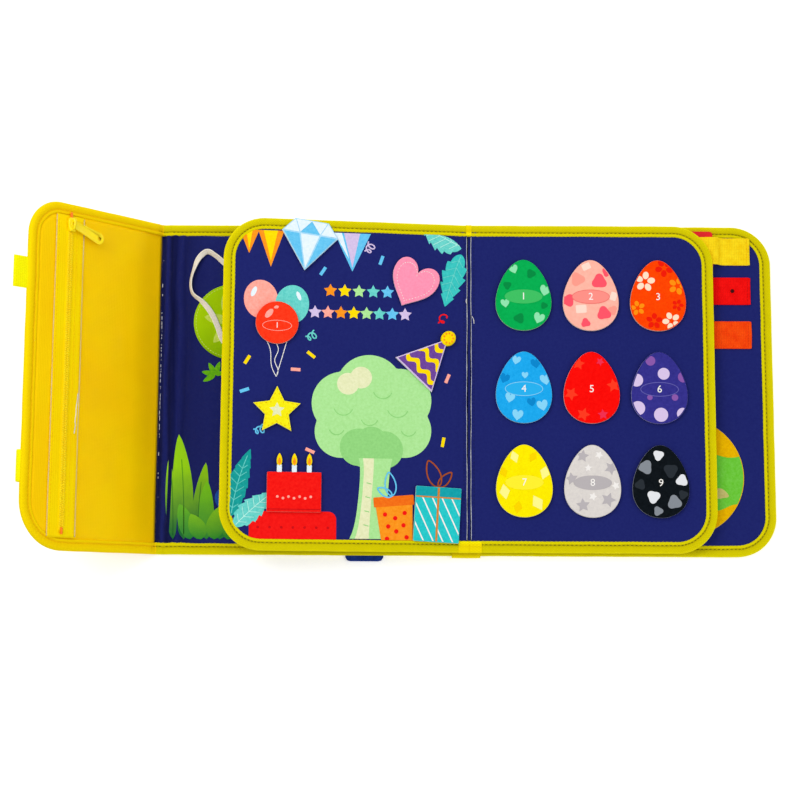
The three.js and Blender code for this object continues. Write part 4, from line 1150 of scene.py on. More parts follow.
def addLeftPageTrim():
    body = "left_cover"
    x, y = limePatch["x"], limePatch["y"]
    felt = feltMaterial("limePatchFelt", "#8cbc08", "#a6d00a", (26, 60))
    roundPatch("lime", limePatch, body, felt, "left_page_patch", limeThread, (2.2, 0.7, 0.4))
    # a plain leaf rosette printed on the patch
    leaflets = [turnedShape(blade(0, 5, 21, 9.5, 0), 60 * k + 20, x, y) for k in range(6)]
    printed("lime_patch_segments", leaflets + [circle(x, y, 3.6, 28)], 7.8, body, "paleLimePrint")
    plate("lace_end_strip", finer([[-206, 24.5], [-198, 24.5], [-198, 114.5], [-206, 114.5]]), 8.0, 9.6, body,
          "navyFelt", 0.4, nodes=["lace_anchor"], slot="navy_felt")
    near = np.array([[-113.5, -152.0], [-113.5, -156.5], [-111.8, -159.4], [-109, -160.2]])
    tab = np.concatenate([near, (near * [-1, 1] - [192, 0])[::-1]])
    plate("blue_side_tab_web", finer(tab, 1.5), 0.4, 2.8, body, blueWeb, 0.5, nodes=["side_tab"], slot="tab_blue")
    sprig = [blade(-236, 12, 13, 5.0, a) for a in (78, 30, -18, 120)] + [blade(-236, 12, 9, 4.2, -75)]
    printed("green_sprig", sprig, 6.15, body, "grassGreenPrint")
    for word, (level, thick, n, tones, blades) in tufts.items():
        printed(f"grass_tufts_{word}", [blade(x, grassFoot, *more, n) for x, *more in blades], level, body,
                feltMaterial(f"{word}GrassPrint", *tones), thick)
    t = np.linspace(0.05, 0.8, 14)
    ribs = [ribbon(stacked(x + sway * length * t ** 2, grassFoot + length * t), 0.7)
            for x, length, sway in ((-262, 92, -0.06), (-272, 70, -0.05), (-249.5, 66, 0.06))]
    printed("grass_ribs", ribs, 6.36, body, feltMaterial("grassRibPrint", "#164c30", "#5fa81c", (-138, -62)))
    printed("blue_pebble", [circle(-226, -104, 8, 30, 10, 20)], 5.95, body, "blueShadowPrint")


addLeftPageTrim()
print("left page trim made")


# ---- right page: three webbing straps, side-release buckle, round patch

webbing = {"wide": 26.0, "thick": 1.65, "level": 7.1, "rows": {"yellow": 130.6, "red": 93.0, "orange": 51.4},
           "threads": {"yellow": goldThread, "red": redThread, "orange": orangeThread}}
orangePatch = {"x": 199.2, "y": -81.5, "r": 54.5, "points": 120, "stitches": 100, "seam": 2.4}
beltHole = {"x": 246.5, "r": 2.3, "lip": 0.5}


def strap(name, line, word, body, material, fold):
    # webbing lying along X on a line of x and z: a flat oval section with thicker selvedges, its end turned under
    p, y0 = np.asarray(line, float), webbing["rows"][word]
    far = distances(p)
    at = np.linspace(0, far[-1], int(far[-1] / 1.1) + 2)
    x, z = sampled(at, far, p).T
    z = np.convolve(np.pad(z, 2, "edge"), np.ones(5) / 5, "valid")
    wide, tall = flatSection(44, webbing["wide"] / 2, 0.14, webbing["thick"] / 2, 0.5)
    tall = tall * (0.86 + 0.14 * rise(np.abs(wide), webbing["wide"] / 2 - 3, 1.5))
    left = at - at[-1]
    end = smooth(-left / 2.2)
    lift = fold * smooth((left + 9) / 3) * (0.4 + 0.6 * end)
    grid = stacked(x[:, None] + 0.25 * np.sin(wide / 5 + y0) * smooth((left + 6) / 6)[:, None],
                   y0 + wide * (1 - 0.035 * (1 - end))[:, None],
                   (z + 0.1 * np.sin(x / 11) + lift)[:, None] + tall * (0.55 + 0.45 * end)[:, None])
    piece(f"{name}_web", grid, tubeFaces(len(x), 44), body, material, [name])


def addStraps():
    z, body = webbing["level"], "right_cover"
    over = [[215.0, 12.3], [225.6, 12.5], [231.0, 12.5], [233.2, 11.4], [235.2, 8.6], [237.6, z], [263.4, z]]
    strap("yellow_strap_outer", over, "yellow", body, yellowWeb, 0.25)
    strap("yellow_strap_inner", [[184.4, z], [120.1, z]], "yellow", "clip", yellowWeb, 0.0)
    strap("red_belt", [[150.1, z], [263.4, z]], "red", body, redWeb, 0.3)
    strap("orange_strap", [[150.1, z], [263.8, z]], "orange", body, orangeWeb, 0.3)


def addStrapTrim():
    body = "right_cover"
    for word, y0 in webbing["rows"].items():
        stitchRow(f"{word}_strap_stitches", stacked(260.6, np.linspace(y0 - 11, y0 + 11, 9), 8.15), (0, 1), body,
                  webbing["threads"][word], (2.2, 0.55, 0.4))
    # the belt's hole, burnt through the webbing, with a slightly raised lip
    turn, tube, y = around(32)[:, None], around(10), webbing["rows"]["red"]
    reach = beltHole["r"] + beltHole["lip"] * np.cos(tube)
    grid = stacked(beltHole["x"] + reach * np.cos(turn), y + reach * np.sin(turn), 7.95 + 0.35 * np.sin(tube))
    faces = [[v % 320 for v in f] for f in gridFaces(33, 10, True)]
    piece("belt_hole_lip", grid, faces, body, redWeb)
    # a dark red-brown disc fills the hole's opening: painted shade inside the hole
    plate("belt_hole_painted_shade", circle(beltHole["x"], y, beltHole["r"], 28), 7.6, 8.05, body, beltHolePaintedShade, 0.15)


def addRightPatch():
    at = [orangePatch["x"], orangePatch["y"]]
    roundPatch("orange", orangePatch, "right_cover", "amberPatchFelt", "right_page_patch", yellowThread,
               (2.2, 0.5, 0.3), "patchPaleEdge")
    # a broad green band across the patch with wavy edges, and a sandy spot on it
    x = np.linspace(60, -60, 50)
    band = np.concatenate([stacked(x, 21.0 + 3.0 * np.sin(x / 9.0)), stacked(x, -28.0 + 3.0 * np.sin(x / 6.0))[::-1]])
    printed("patch_green_wave", [clipped(band, circle(0, 0, 53.7, 90)) + at], 7.8, "right_cover", "leafGreenPrint")
    t = around(40)
    spot = stacked(33 + (8.5 + 1.5 * np.cos(3 * t)) * np.cos(t), -7.5 + (5.0 + 0.8 * np.sin(2 * t)) * np.sin(t))
    printed("patch_sandy_spot", [turnedShape(spot, -14, *at)], 7.95, "right_cover", "sandPrint")


addStraps()
addRightPatch()
addStrapTrim()
print("right page trim made")


# ---- lift-off felt pieces on both leaves

seat = {"pad": (18.95, 19.65), "felt": (19.6, 22.5), "print": 22.6}


def eggOutline(x, y, width=50.4, height=66.6, n=96):
    # an oval that is narrower towards its top
    t = around(n)
    return stacked(x + width / 2 * np.cos(t) * (1 - 0.24 * np.sin(t)), y + height / 2 * np.sin(t))


def heartOutline(width=44.0, height=44.0, n=14):
    # two curves a side: up from the tip, then over the lobe to the dip
    t = np.linspace(0, 1, n, endpoint=False)[:, None]
    half = np.array([width / 2, height / 2])

    def curve(*ends):
        a, b, c, d = (np.array(v) * half for v in ends)
        return (1 - t) ** 3 * a + 3 * (1 - t) ** 2 * t * b + 3 * (1 - t) * t * t * c + t ** 3 * d

    right = np.concatenate([curve((0, -1), (0.35, -0.6), (1, -0.25), (1, 0.42)),
                            curve((1, 0.42), (1, 1.18), (0.18, 1.18), (0, 0.55))])
    return np.concatenate([right, [[0, 0.55 * half[1]]], right[1:][::-1] * [-1, 1]])


def ornament(kind, x, y, size, turn=0.0):
    # one small common figure as a list of outlines
    if kind == "flower":
        return [circle(x + size * 0.31 * math.cos(v), y + size * 0.31 * math.sin(v), size * 0.19, 14, size * 0.15,
                       math.degrees(v)) for v in np.radians(turn + 72 * np.arange(5))]
    if kind == "star":
        return [star(x, y, size / 2, 0.5, turn)]
    if kind == "dot":
        return [circle(x, y, size / 2, 26)]
    t = around(30)
    shapes = {"heart": heartOutline(size, size, 7),
              "drop": size / 2 * (1 + 0.16 * np.cos(3 * t))[:, None] * stacked(np.cos(t), np.sin(t)),
              "tile": roundedBox(-size / 2, size / 2, -size / 2.6, size / 2.6, size / 8, 4),
              "lozenge": np.array([[0, -0.6], [0.4, 0], [0, 0.6], [-0.4, 0]]) * size}
    return [turnedShape(shapes[kind], turn, x, y)]


# for each egg: the felt's two tones, its pale cut edge, the label's fill and ring, then prints as tone, kind and
# places (x, y, size, turn)
eggs = {
    "green": [("#04a64c", "#08b254"), ("#9ad2a0", "#bce4c0"), ("#3fbf62", None), [
        ("#8fe4ae", "heart", [(-9, 24, 8, 20), (20, 4, 10, -14), (-17, -8, 8, 8), (14, -22, 10, -20)]),
        ("#078a42", "drop", [(7, 20, 8, 0), (-15, 9, 7, 30), (-4, -22, 9, 60), (19, -10, 6, 0)])]],
    "pink": [("#ffb09c", "#ffbcaa"), ("#f6dcd0", "#fff0e8"), ("#ff9086", "#f0706c"), [
        ("#ff5568", "drop", [(8, 13, 13, 90), (15, 22, 8, 20), (-21, -5, 11, 60), (12, -17, 12, -20),
                             (-5, -26, 8, 100)]),
        ("#ffdccc", "tile", [(-4, 27, 8, 25), (21, -1, 8, 70), (-9, -13, 10, 4)]),
        ("#ff9c8c", "drop", [(-12, 15, 12, 0), (20, -14, 8, 50)])]],
    "orange": [("#fa3c00", "#ff4c02"), ("#ffc09a", "#ffdcc4"), (None, None), [
        ("#ffe2c4", "flower", [(-12, 13, 19, 10), (12, -24, 17, 40)]),
        ("#ff9010", "flower", [(18, 9, 17, 0), (-19, -12, 14, 30)]),
        ("#f01c08", "flower", [(6, 26, 17, 50), (-4, -24, 15, 15), (18, -9, 11, 70)])]],
    "blue": [("#14a0e6", "#22aef2"), ("#a8d8ee", "#cdeaf8"), ("#28b0ee", "#8ad4f6"), [
        ("#86d4f6", "heart", [(-7, 25, 8, -15), (20, 7, 10, 12), (1, 11, 6, 0), (-13, -10, 9, -12), (17, -17, 10, 14),
                              (-6, -26, 10, -8)]),
        ("#0c86cc", "heart", [(11, 22, 9, 10), (-18, 8, 9, -20), (7, -14, 8, 10)])]],
    "red": [("#f60604", "#ff100a"), ("#f8b0a0", "#ffc8b8"), (None, None), [
        ("#ff3a20", "star", [(-12, 22, 12, 80), (-19, -6, 13, 60), (20, 2, 13, 100), (-8, -25, 13, 70)]),
        ("#f03050", "star", [(10, -25, 10, 95), (8, 24, 8, 60)])]],
    "purple": [("#2f2c82", "#3a3692"), ("#8886c0", "#a8a6d8"), (None, "#6a66b4"), [
        ("#d8c4e8", "dot", [(4, 13, 11), (-21, 7, 12), (-20, -19, 13), (1, -25, 13), (21, -24, 11)]),
        ("#8a58a8", "dot", [(-8, 25, 9), (22, 10, 10), (14, -9, 6), (-9, -9, 5)])]],
    "yellow": [("#fbe400", "#fff200"), ("#fff6b0", "#fffad0"), ("#fff030", None), [
        ("#fff88c", "lozenge", [(-9, 22, 10, 20), (19, 8, 12, -20), (-18, -10, 12, 10), (12, -20, 13, 30)]),
        ("#fbd600", "lozenge", [(8, 22, 9, -30), (-19, 8, 9, 20), (-6, -24, 10, -10)])]],
    "white": [("#d6d0cc", "#e2dcd6"), ("#f0ece6", "#fbf8f4"), ("#b8b2b4", None), [
        ("#b9b3b6", "star", [(-9, 23, 12, 80), (17, 12, 13, 60), (-19, 2, 12, 100), (14, -17, 14, 70),
                             (-9, -22, 13, 95)]),
        ("#f2eeea", "star", [(6, 24, 8, 60), (-4, 12, 7, 90), (21, -4, 8, 40), (0, -14, 8, 70)])]],
    "black": [("#0a0f13", "#12181d"), ("#787c82", "#9a9ea6"), (None, None), [
        ("#e4e6ea", "drop", [(-2, 24, 9, 20), (19, 1, 10, 80), (-7, -14, 11, 140)]),
        ("#868c94", "drop", [(-14, 13, 12, 60), (12, -19, 12, 100), (-3, -27, 8, 0)]),
        ("#2a3036", "drop", [(9, 10, 12, 30), (-19, -3, 9, 70), (20, -12, 8, 10)])]],
}
eggFirst, eggPitch = (50.1, 85.6), (62.3, 86.3)


def digit(text, x, y, size, level, body, material, name, place=asIs):
    # a plain number as a thin print
    curve = bpy.data.curves.new("digit", "FONT")
    curve.body, curve.size, curve.extrude, curve.resolution_u = text, size, 0.05, 4
    curve.align_x = curve.align_y = "CENTER"
    temporary = bpy.data.objects.new("digit", curve)
    bpy.context.scene.collection.objects.link(temporary)
    bpy.context.view_layer.update()
    shown = temporary.evaluated_get(bpy.context.evaluated_depsgraph_get())
    mesh = shown.to_mesh()
    points = np.array([v.co for v in mesh.vertices]) + [x, y, level]
    faces = [list(p.vertices) for p in mesh.polygons]
    shown.to_mesh_clear()
    bpy.data.objects.remove(temporary)
    bpy.data.curves.remove(curve)
    points, index = np.unique(np.round(points, 4), axis=0, return_inverse=True)
    faces = [[int(index.reshape(-1)[v]) for v in f] for f in faces]
    piece(name, points, [f for f in faces if len(set(f)) == len(f)], body, material, smooth=False, place=place)


def ring(x, y, rx, ry, width):
    # a thin oval ring as two half bands
    halves = []
    for start in (0, np.pi):
        t = np.linspace(start, start + np.pi, 30)
        outer, inner = (stacked(x + (rx - less) * np.cos(t), y + (ry - less) * np.sin(t)) for less in (0, width))
        halves.append(np.concatenate([outer, inner[::-1]]))
    return halves


def addEgg(k, word, felt, edge, label, prints):
    x, y = eggFirst[0] + (k % 3) * eggPitch[0], eggFirst[1] - (k // 3) * eggPitch[1]
    body = f"egg_{word}_piece"
    tinted = lambda part, low, high: feltMaterial(f"{word}Egg{part}", low, high)
    plate(f"{word}_egg_felt", eggOutline(x, y), *seat["felt"], body, tinted("Felt", *felt), 0.7, 0.15, [f"egg_{word}"],
          f"egg_{word}", pale=tinted("Edge", *edge), inner=5)
    plate(f"{word}_egg_hook_pad", circle(x, y, 9, 32), *seat["pad"], body, "navyFelt", 0.2)
    rim = eggOutline(x, y, 48.6, 64.8, 64)
    for n, (tone, kind, spots) in enumerate(prints, 1):
        shapes = [clipped(o, rim) for u, v, *more in spots for o in ornament(kind, x + u, y + v, *more)]
        printed(f"{word}_egg_prints_{n}", shapes, 22.62, body, tinted(f"Print{n}", tone, tone), 0.06)
    fill, line = label
    at = (x, y - 1.5)
    if fill:
        printed(f"{word}_egg_label", [circle(*at, 17.5, 56, 6.6)], 22.76, body, tinted("Label", fill, fill), 0.06)
    if line:
        printed(f"{word}_egg_label_ring", ring(*at, 17.6, 6.7, 0.6), 22.8, body, tinted("Ring", line, line), 0.06)
    digit(str(k + 1), *at, 9.5, 22.92, body, "numberPrint", f"{word}_egg_number")


for k, (word, egg) in enumerate(eggs.items()):
    addEgg(k, word, *egg)
print("eggs made")


def cut(name, node, outline, material, slot, pale, centre=None):
    # one felt piece of the left leaf with its hook pad below
    body = f"{node}_piece"
    plate(name, outline, *seat["felt"], body, material, 0.6, 0.1, [node], slot, leafPlace, centre,
          feltMaterial(f"{name}Edge", pale, pale))
    x, y = np.mean(outline, 0) if centre is None else centre
    plate(f"{name}_pad", circle(x, y, 9.0, 28), *seat["pad"], body, "navyFelt", 0.2, place=leafPlace)
    return body


def marked(name, outlines, body, material, above=0.0, thick=0.06):
    # a print on one of those pieces
    printed(name, outlines, seat["print"] + above, body, material, thick, leafPlace)


def addRoundStarHeart():
    body = cut("round_felt", "felt_circle", circle(-177.6, 54.3, 19.5, 72), "redOrangeFelt", "felt_red_orange",
               "#ffb8a0")
    marked("round_felt_gloss", [circle(-185, 62.5, 2.6, 24, 5.0, -40), circle(-178.5, 68.4, 1.4, 16, 2.2, -75)], body,
           "lightCoralPrint")
    marked("round_felt_label", ring(-177.6, 51.5, 13.5, 5.0, 0.5), body, "lightCoralPrint")
    digit("1", -177.6, 51.5, 7.5, seat["print"] + 0.1, body, "whitePrint", "round_felt_number", leafPlace)
    at = (-176.6, -26.5)
    body = cut("star_felt", "felt_star", finer(star(*at, 22.6, 0.5)), "lemonFelt", "felt_yellow", "#fff4a8", at)
    dashes = finer(star(*at, 19.2, 0.5), 3.4)
    stitchRow("star_felt_dashes", atHeight(dashes, seat["print"]), np.roll(dashes, -1, 0) - dashes, body, amberThread,
              (2.0, 0.6, 0.3), leafPlace)
    marked("star_felt_print", [star(-176.6, -26.0, 7.0, 0.5)], body, "creamPrint")
    at = (-53.5, 93.5)
    heart = turnedShape(heartOutline(), -26, *at)
    body = cut("heart_felt", "felt_heart", heart, "pinkFelt", "felt_pink", "#ffd4e0", at)
    dashes = turnedShape(heartOutline(35, 35, 11), -26, *at)
    onward = np.roll(dashes, -1, 0) - dashes
    keep = np.linalg.norm(onward, axis=1) > 0.2
    stitchRow("heart_felt_dashes", atHeight(dashes[keep], seat["print"]), onward[keep], body, whiteThread,
              (1.7, 0.6, 0.3), leafPlace)


def addGem():
    place = lambda shape: turnedShape(shape, -8, -150, 127)
    gem = place([[0, -23.5], [26, 10.6], [15.6, 23.5], [-15.6, 23.5], [-26, 10.6]])
    body = cut("stone_felt", "felt_gem", finer(gem), "paleBlueFelt", "felt_pale_blue", "#e6f6ff",
               tuple(place([[0, 3]])[0]))
    light = [[[-24.6, 11.2], [-10, 11.2], [-15.2, 22.6]], [[10, 11.2], [24.6, 11.2], [15.2, 22.6]],
             [[-8.6, 9.8], [8.6, 9.8], [0, -21.6]], [[0, 22.6], [9.2, 11.4], [14.4, 22.6]],
             [[0, 22.6], [-9.2, 11.4], [-14.4, 22.6]]]
    marked("stone_facets_light", [place(f) for f in light], body, "iceBluePrint")
    deep = [[[-24, 9.8], [-10, 9.8], [-1.4, -20.6]], [[24, 9.8], [10, 9.8], [1.4, -20.6]],
            [[-9, 11.2], [9, 11.2], [0, 22.4]]]
    marked("stone_facets_deep", [place(f) for f in deep], body, "skyBluePrint")


def addHat():
    # a cone of 52 mm slant and 46 mm foot, with a pompom on its tip
    place = lambda shape: turnedShape(shape, -43, -36, 26.5)
    height = math.sqrt(52 ** 2 - 23 ** 2)
    hat = np.array([[-23, -height / 2], [23, -height / 2], [0, height / 2]])
    middle = np.array([[0, -height / 6]])
    body = cut("hat_felt", "felt_hat", finer(place(hat)), "lilacFelt", "felt_purple", "#f0e8f8",
               tuple(place(middle)[0]))
    cone = place(middle + (hat - middle) * 0.92)
    marked("hat_cone_print", [cone], body, "purpleFelt")
    bands = []
    for y, half, swings in ((-14.5, 23, 3.2), (-1.5, 18, 2.6), (11.0, 13, 1.8)):
        x = np.linspace(-half, half, 64)
        z = y + 2.3 * np.sin(x / half * np.pi * swings + y) - 0.08 * x
        bands.append(clipped(place(np.concatenate([stacked(x, z + 2.4), stacked(x, z - 2.4)[::-1]])), cone))
    marked("hat_zigzag_bands", bands, body, "yellowFelt", 0.1, 0.05)
    x, y = place([[0, height / 2 + 0.5]])[0]
    plate("hat_pompom_felt", circle(x, y, 6.6, 40, 7.4, -43), 19.6, 23.7, body, "yellowFelt", 1.6, 0.6, place=leafPlace)
    dots = [circle(x + 4.2 * math.cos(v), y + 4.6 * math.sin(v), 0.9, 12) for v in around(9)] + [circle(x, y, 1.3, 14)]
    printed("hat_pompom_dots", dots, 23.75, body, "orangePrint", 0.3, leafPlace)


def addGift():
    place = lambda shape: turnedShape(shape, -3, -29.6, -118.4)
    body = cut("gift_felt", "felt_gift", place(finer(roundedBox(-21, 21, -25, 25, 1.2))), "tealFelt", "felt_teal",
               "#b8f0ee", (-29.6, -118.4))
    front = roundedBox(-20.2, 20.2, -24.2, 15.5, 0.4, 2)
    bars = [clipped([[c + 11.4, -26.0], [c + 12.8, -26.0], [c - 11.4, 20.0], [c - 12.8, 20.0]], front)
            for c in np.arange(-32, 33, 9.0)]
    marked("gift_stripes", [place(b) for b in bars if len(b) > 2], body, "whitePrint", 0.0, 0.05)
    marked("gift_lid", [place(roundedBox(-20.8, 20.8, 15.8, 24.6, 0.8))], body, "deepTealPrint")
    bands = [roundedBox(-0.9, 0.9, -24.4, 24.4, 0.2, 2), roundedBox(-20.4, 20.4, 15.0, 16.2, 0.2, 2)]
    marked("gift_ribbon", [place(b) for b in bands], body, "bronzePrint", 0.18)


def addCake():
    at, body = (-160.1, -99.8), "felt_cake_piece"
    cx, cy = at
    plate("cake_felt", finer(roundedBox(cx - 24.5, cx + 24.5, cy - 18, cy + 18, 1.0)), *seat["felt"], body, "redFelt",
          0.6, 0.1, ["felt_cake"], "felt_red", leafPlace, at, feltMaterial("cakeEdge", "#ff9a8a", "#ff9a8a"))
    plate("cake_felt_pad", circle(*at, 9.0, 28), *seat["pad"], body, "navyFelt", 0.2, place=leafPlace)
    for k in (1, 2, 3):
        x = cx + (k - 2) * 13.5
        candle = roundedBox(x - 2.25, x + 2.25, cy + 17.6, cy + 24.5, 0.4)
        plate(f"cake_candle_{k}", finer(candle), *seat["felt"], body, "iceBluePrint", 0.5, place=leafPlace)
        flame = finer(blade(x, cy + 23.0, 12.0, 5.0, 0), 1.0)
        plate(f"cake_flame_{k}", flame, *seat["felt"], body, "yellowFelt", 0.4, place=leafPlace)
        marked(f"flame_heart_{k}", [blade(x, cy + 24.4, 6.5, 2.6, 0, 0.0, 10)], body, "orangePrint")
    marked("cake_band", [roundedBox(cx - 23.8, cx + 23.8, cy - 16.0, cy - 15.2, 0.3, 3)], body, "deepRedPrint")
    dots = [circle(cx + x, cy - 5.0 + 0.7 * (-1) ** k, 1.2, 16) for k, x in enumerate(np.linspace(-15, 15, 7))]
    marked("cake_dots", dots, body, "lightCoralPrint")


addRoundStarHeart()
addGem()
addHat()
addGift()
addCake()
print("felt pieces made")


# ---- prints on the left leaf: bunting, balloons, a round tree, leaves, confetti, presents and the cake's lower tier

page = roundedBox(-217.5, -2.0, -142.0, 142.0, 28.0, 14)


def show(name, outlines, material, above=0.0):
    # a print on the leaf, cut off where the binding begins
    printed(name, [clipped(o, page) for o in outlines], 18.78 + above, "left_leaf", material, 0.1, leafPlace)


def notched(x, y, length, width, degrees, teeth, depth, sway):
    # a broad leaf: an almond whose half width is cut back by a saw wave, about a bending middle line
    t = np.linspace(0, 1, 73)
    wide = width / 2 * np.sin(np.pi * np.clip(t, 0.001, 0.999) ** 0.8) ** 0.8 * (1 - depth * (t * teeth % 1.0))
    return almond(x, y, length, wide, degrees, sway)


def veins(x, y, length, width, degrees, count, sway):
    # the middle rib of such a leaf and its side ribs in pairs
    t = np.linspace(0.04, 0.9, 14)
    lines = [ribbon(turnedShape(stacked(sway * length * t ** 2, length * t), degrees, x, y), 0.7)]
    for k in range(count):
        u = 0.12 + 0.7 * k / count
        reach = width * 0.3 * math.sin(math.pi * min(u + 0.12, 1)) + 1
        foot = np.array([sway * length * u * u, length * u])
        for s in (1, -1):
            lines.append(ribbon(turnedShape([foot, foot + [s * reach, reach * 0.8]], degrees, x, y), 0.56))
    return lines


def squiggle(x, y, length, height, turns, degrees):
    # a curled paper streamer: a looped line, forward steadily and round in circles that grow a little
    t = np.linspace(0, 1, int(18 * turns))
    reach, turn = height / 2 * (0.7 + 0.5 * t), 2 * np.pi * turns * t
    line = turnedShape(stacked(length * (t - 0.5) + reach * 0.8 * np.sin(turn), reach * np.cos(turn)), degrees, x, y)
    return [ribbon(line[k:k + 2], 1.3) for k in range(len(line) - 1)]


def addBuntingAndBalloons():
    y = 140.5
    pennant = lambda x, wide, tall: [[x - wide, y], [x + wide, y], [x, y - tall]]
    show("pennants_orange", [pennant(-204, 9, 22), pennant(-184, 12, 34)], "orangePrint")
    show("pennants_orange_light", [[[-191, y], [-178, y], [-184, 112]], [[-207, y], [-201, y], [-204, 122]]],
         "yellowFelt", 0.05)
    show("pennants_blue", [pennant(-109, 17, 36)], "skyBluePrint")
    show("pennants_lilac", [[[-117, y], [-102, y], [-109, 108]]], "lilacFelt", 0.05)
    show("pennants_ice", [[[-126, y], [-119, y], [-112, 116]]], "iceBluePrint", 0.1)
    show("balloon_pink", [circle(-192.5, 76, 15.5, 48, 18, 8), [[-195, 57], [-191, 57], [-193, 60]]], "lightCoralPrint")
    show("balloon_aqua", [circle(-164, 72, 15.5, 48, 18, -8), [[-166, 52], [-162, 52], [-164, 56]]], "aquaPrint", 0.02)
    gloss = [circle(-199, 83, 2.2, 20, 5.0, -24), circle(-158, 80, 1.8, 20, 4.4, 22)]
    show("balloon_gloss", gloss, "iceBluePrint", 0.1)
    t = np.linspace(0, 1, 18)
    for k, (x, y) in enumerate([(-193, 57), (-164, 53), (-177.6, 35)]):
        line = stacked(x + (-177.5 - x) * t + 1.6 * np.sin(3 * np.pi * t) * (k - 1), y + (5 - y) * t)
        show(f"balloon_string_{k + 1}", [ribbon(line, 0.65)], "whitePrint", 0.03)


def addTree():
    clouds = [(-116, -18, 29), (-92, -4, 31), (-64, -14, 29), (-60, -42, 25), (-92, -48, 29), (-118, -44, 24)]
    show("tree_crown", [merged(clouds, -90, -28)], "paleGreenPrint")
    show("tree_crown_shade", [merged([(-102, -58, 17), (-78, -60, 17), (-90, -54, 15)], -90, -58)], "mintGreenPrint",
         0.05)
    show("tree_crown_light", [merged([(-112, 0, 10), (-100, 6, 10)], -106, 3)], "creamPrint", 0.05)
    t = np.linspace(3.5, 5.9, 16)
    arc = stacked(np.cos(t), np.sin(t))
    scallops = [ribbon([x, y] + r * arc, 0.9) for x, y, r in (
        (-116, -20, 9), (-66, -20, 10), (-92, -30, 8), (-80, -4, 9), (-122, -40, 7), (-56, -40, 7))]
    show("tree_scallops", scallops, "mintGreenPrint", 0.12)
    y = np.linspace(-141, -68, 24)
    flare = 13.0 + 6.5 * np.exp(-(y + 141) / 12) + 2.5 * np.exp(-(-68 - y) / 8)
    lean = -90 + 4 * smooth((y + 140) / 80)
    stem = lambda right, left: np.concatenate([stacked(lean + right * flare, y), stacked(lean - left * flare, y)[::-1]])
    show("tree_trunk", [stem(1, 1)], "paleGreenPrint", 0.12)
    show("tree_trunk_light", [stem(-0.1, 0.75)], "creamPrint", 0.2)
    bark = [ribbon([[lean[k] - 7, y[k]], [lean[k] - 2.5, y[k] - 1.2]], 0.8) for k in (4, 8, 12, 16)]
    show("tree_bark_lines", bark, "mintGreenPrint", 0.3)


def addBroadLeaves():
    # for each: its shape (x, y, length, width, lean), teeth and their depth, bend, tone and level, then its veins
    for word, shape, saw, sway, tone, above, count, veinTone, veinAbove in (
            ("corner_leaf_aqua", (-6, 131, 44, 30, 66), (6, 0.25), 0.05, "aqua", 0.0, 5, "mintAqua", 0.12),
            ("corner_leaf_teal", (-7, 124, 52, 24, 158), (5, 0.3), -0.08, "brightTeal", 0.05, 5, "aqua", 0.16),
            ("low_leaf_teal", (-216, -122, 62, 20, -6), (7, 0.16), 0.16, "teal", 0.0, 6, "aqua", 0.12),
            ("low_leaf_aqua", (-213, -131, 46, 22, -42), (6, 0.24), 0.1, "aqua", 0.05, 5, "mintAqua", 0.2)):
        show(word, [notched(*shape, *saw, sway)], f"{tone}Print", above)
        show(f"{word}_veins", veins(*shape, count, sway), f"{veinTone}Print", veinAbove)


def addConfettiAndStars():
    rng = np.random.default_rng(8)
    spots = [(-204, 20), (-160, 12), (-136, 104), (-146, 26), (-146, -62), (-82, 116), (-24, -52), (-20, 7), (-206, -8)]
    bar = [[-4.4, -1.5], [4.4, -1.5], [4.4, 1.5], [-4.4, 1.5]]
    bars = [turnedShape(bar, rng.uniform(0, 180), x, y) for x, y in spots]
    for k, (word, tone) in enumerate((("yellow", "yellowFelt"), ("pink", "lightCoralPrint"), ("blue", "skyBluePrint"))):
        show(f"confetti_{word}", bars[k::3], tone)
    curls = [(-93, 127, 10, 7, 2, 60, "lilacFelt"), (-147, 118, 9, 6, 1.6, -50, "skyBluePrint"),
             (-146, 43, 10, 6.5, 2, 30, "aquaPrint"), (-192, -44, 10, 6.5, 2, 20, "skyBluePrint"),
             (-25, 62, 9, 6, 1.6, 70, "redPrint")]
    for k, (*shape, tone) in enumerate(curls, 1):
        show(f"streamer_{k}", squiggle(*shape), tone)
    tones = ("orangePrint", "yellowFelt", "paleGreenPrint", "aquaPrint", "skyBluePrint", "lilacFelt", "lightCoralPrint")
    places = [(-129 + 13.2 * k, 86.0) for k in range(5)] + [(-143 + 11.9 * k, 65.5) for k in range(8)]
    for k, (x, y) in enumerate(places):
        show(f"small_star_{k + 1}", [star(x, y, 6.4, 0.52)], tones[k % 7])


def bow(x, y, *loops):
    # thin ribbon loops: each is a band along a blade's edge, in two halves
    bands = []
    for shape in loops:
        edge = blade(x, y, *shape, 0.0, 16)
        edge = np.vstack([edge, edge[:1]])
        half = len(edge) // 2
        bands += [ribbon(edge[:half + 1], 1.3), ribbon(edge[half:], 1.3)]
    return bands


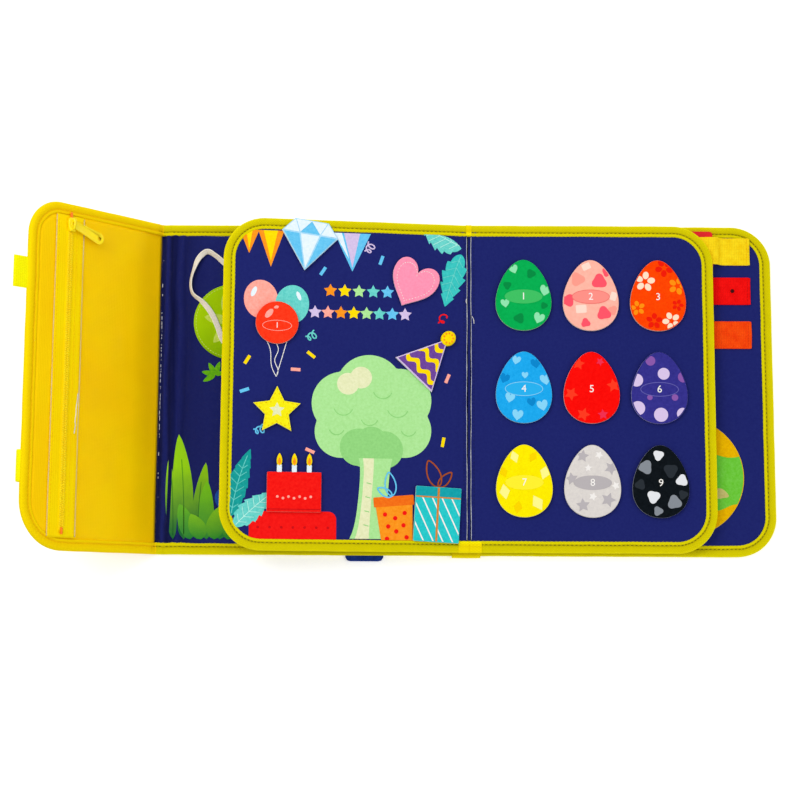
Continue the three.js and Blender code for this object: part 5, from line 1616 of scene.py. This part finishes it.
def addPresents():
    show("cake_plinth", [roundedBox(-200, -121.5, -148, -117.0, 7)], "redPrint")
    show("plinth_dots", [circle(v, -131.5, 1.2, 14) for v in np.arange(-192, -126, 10.5)], "deepRedPrint", 0.12)
    box = lambda shape: turnedShape(shape, 5, -68.0, -121)
    show("gift_box_print", [box([[-14, -26], [14, -26], [17, 12], [-17, 12]])], "orangePrint", 0.3)
    show("gift_box_lid", [box(roundedBox(-18.5, 18.5, 10.0, 19.0, 1.0))], "deepOrangePrint", 0.36)
    dots = [(-9, 3), (0, -1), (9, 3), (-7, -8), (7, -8), (0, -13), (-9, -19), (9, -19)]
    show("gift_box_dots", [box(circle(x, y, 2.0, 18)) for x, y in dots], "redPrint", 0.44)
    show("gift_box_bow", bow(-71, -102, (22, 10, 8), (15, 7, 62)), "skyBluePrint", 0.4)
    show("teal_gift_bow", bow(-28, -93, (26, 12, 22), (18, 8, -42)), "brownPrint", 0.1)


addBuntingAndBalloons()
addTree()
addBroadLeaves()
addConfettiAndStars()
addPresents()
print("prints made")


# ---- finishes for the solids that stay as they are, light and floor

def dressSolids():
    boards = [f"{side}_{part}_board" for side in ("left", "right") for part in ("cover", "leaf")]
    kept = {**dict.fromkeys(boards, greyBoard), "buckle_socket": redPlastic, "buckle_clip": redPlastic}
    for name, material in kept.items():
        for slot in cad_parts[name].material_slots:
            slot.material = material


def directRays(tree):
    # one for rays from the camera, a reflection or a clear film, none for the light that falls on things
    path = add(tree, "ShaderNodeLightPath").outputs
    glossy = maths(tree, "MAXIMUM", path["Is Camera Ray"], path["Is Glossy Ray"])
    return maths(tree, "MAXIMUM", glossy, path["Is Transmission Ray"])


def addLights():
    world = bpy.data.worlds.new("studio")
    bpy.context.scene.world = world
    world.use_nodes = True
    tree = world.node_tree
    tree.nodes.clear()
    plain, white = (add(tree, "ShaderNodeBackground", {"Color": (1, 1, 1, 1), "Strength": v}) for v in (0.62, 1.0))
    mixed = add(tree, "ShaderNodeMixShader", {0: directRays(tree), 1: plain, 2: white})
    add(tree, "ShaderNodeOutputWorld", {"Surface": mixed})
    for name, at, size, power in (("key", (-0.7, 0.55, 1.3), 0.9, 9.0), ("fill", (0.9, -0.3, 1.2), 1.2, 5.0)):
        data = bpy.data.lights.new(name, "AREA")
        data.size, data.energy = size, power
        made = bpy.data.objects.new(name, data)
        made.location = at
        made.rotation_mode = "QUATERNION"
        made.rotation_quaternion = (Vector((-0.06, 0, 0)) - Vector(at)).to_track_quat("-Z", "Y")
        bpy.context.scene.collection.objects.link(made)


def addFloor():
    # a wide sheet of white paper just below the case
    half, level = 6, -0.0004
    mesh = bpy.data.meshes.new("floor")
    corners = [(x * half, y * half, level) for x, y in ((-1, -1), (1, -1), (1, 1), (-1, 1))]
    mesh.from_pydata(corners, [], [[0, 1, 2, 3]])
    made = bpy.data.objects.new("floor", mesh)
    bpy.context.scene.collection.objects.link(made)
    material, tree, shader, coords = finish("whitePaperSweep", Roughness=0.9, Specular_IOR_Level=0.1)
    tree.links.new(mottled(tree, coords, "#fcfcfc", "#ffffff", 3, 2.0, (0.3, 0.7)), shader.inputs["Base Color"])
    shader.inputs["Emission Color"].default_value = (1, 1, 1, 1)
    tree.links.new(maths(tree, "MULTIPLY", directRays(tree), 0.32), shader.inputs["Emission Strength"])
    mesh.materials.append(material)


dressSolids()
addLights()
addFloor()
print("light and floor made")
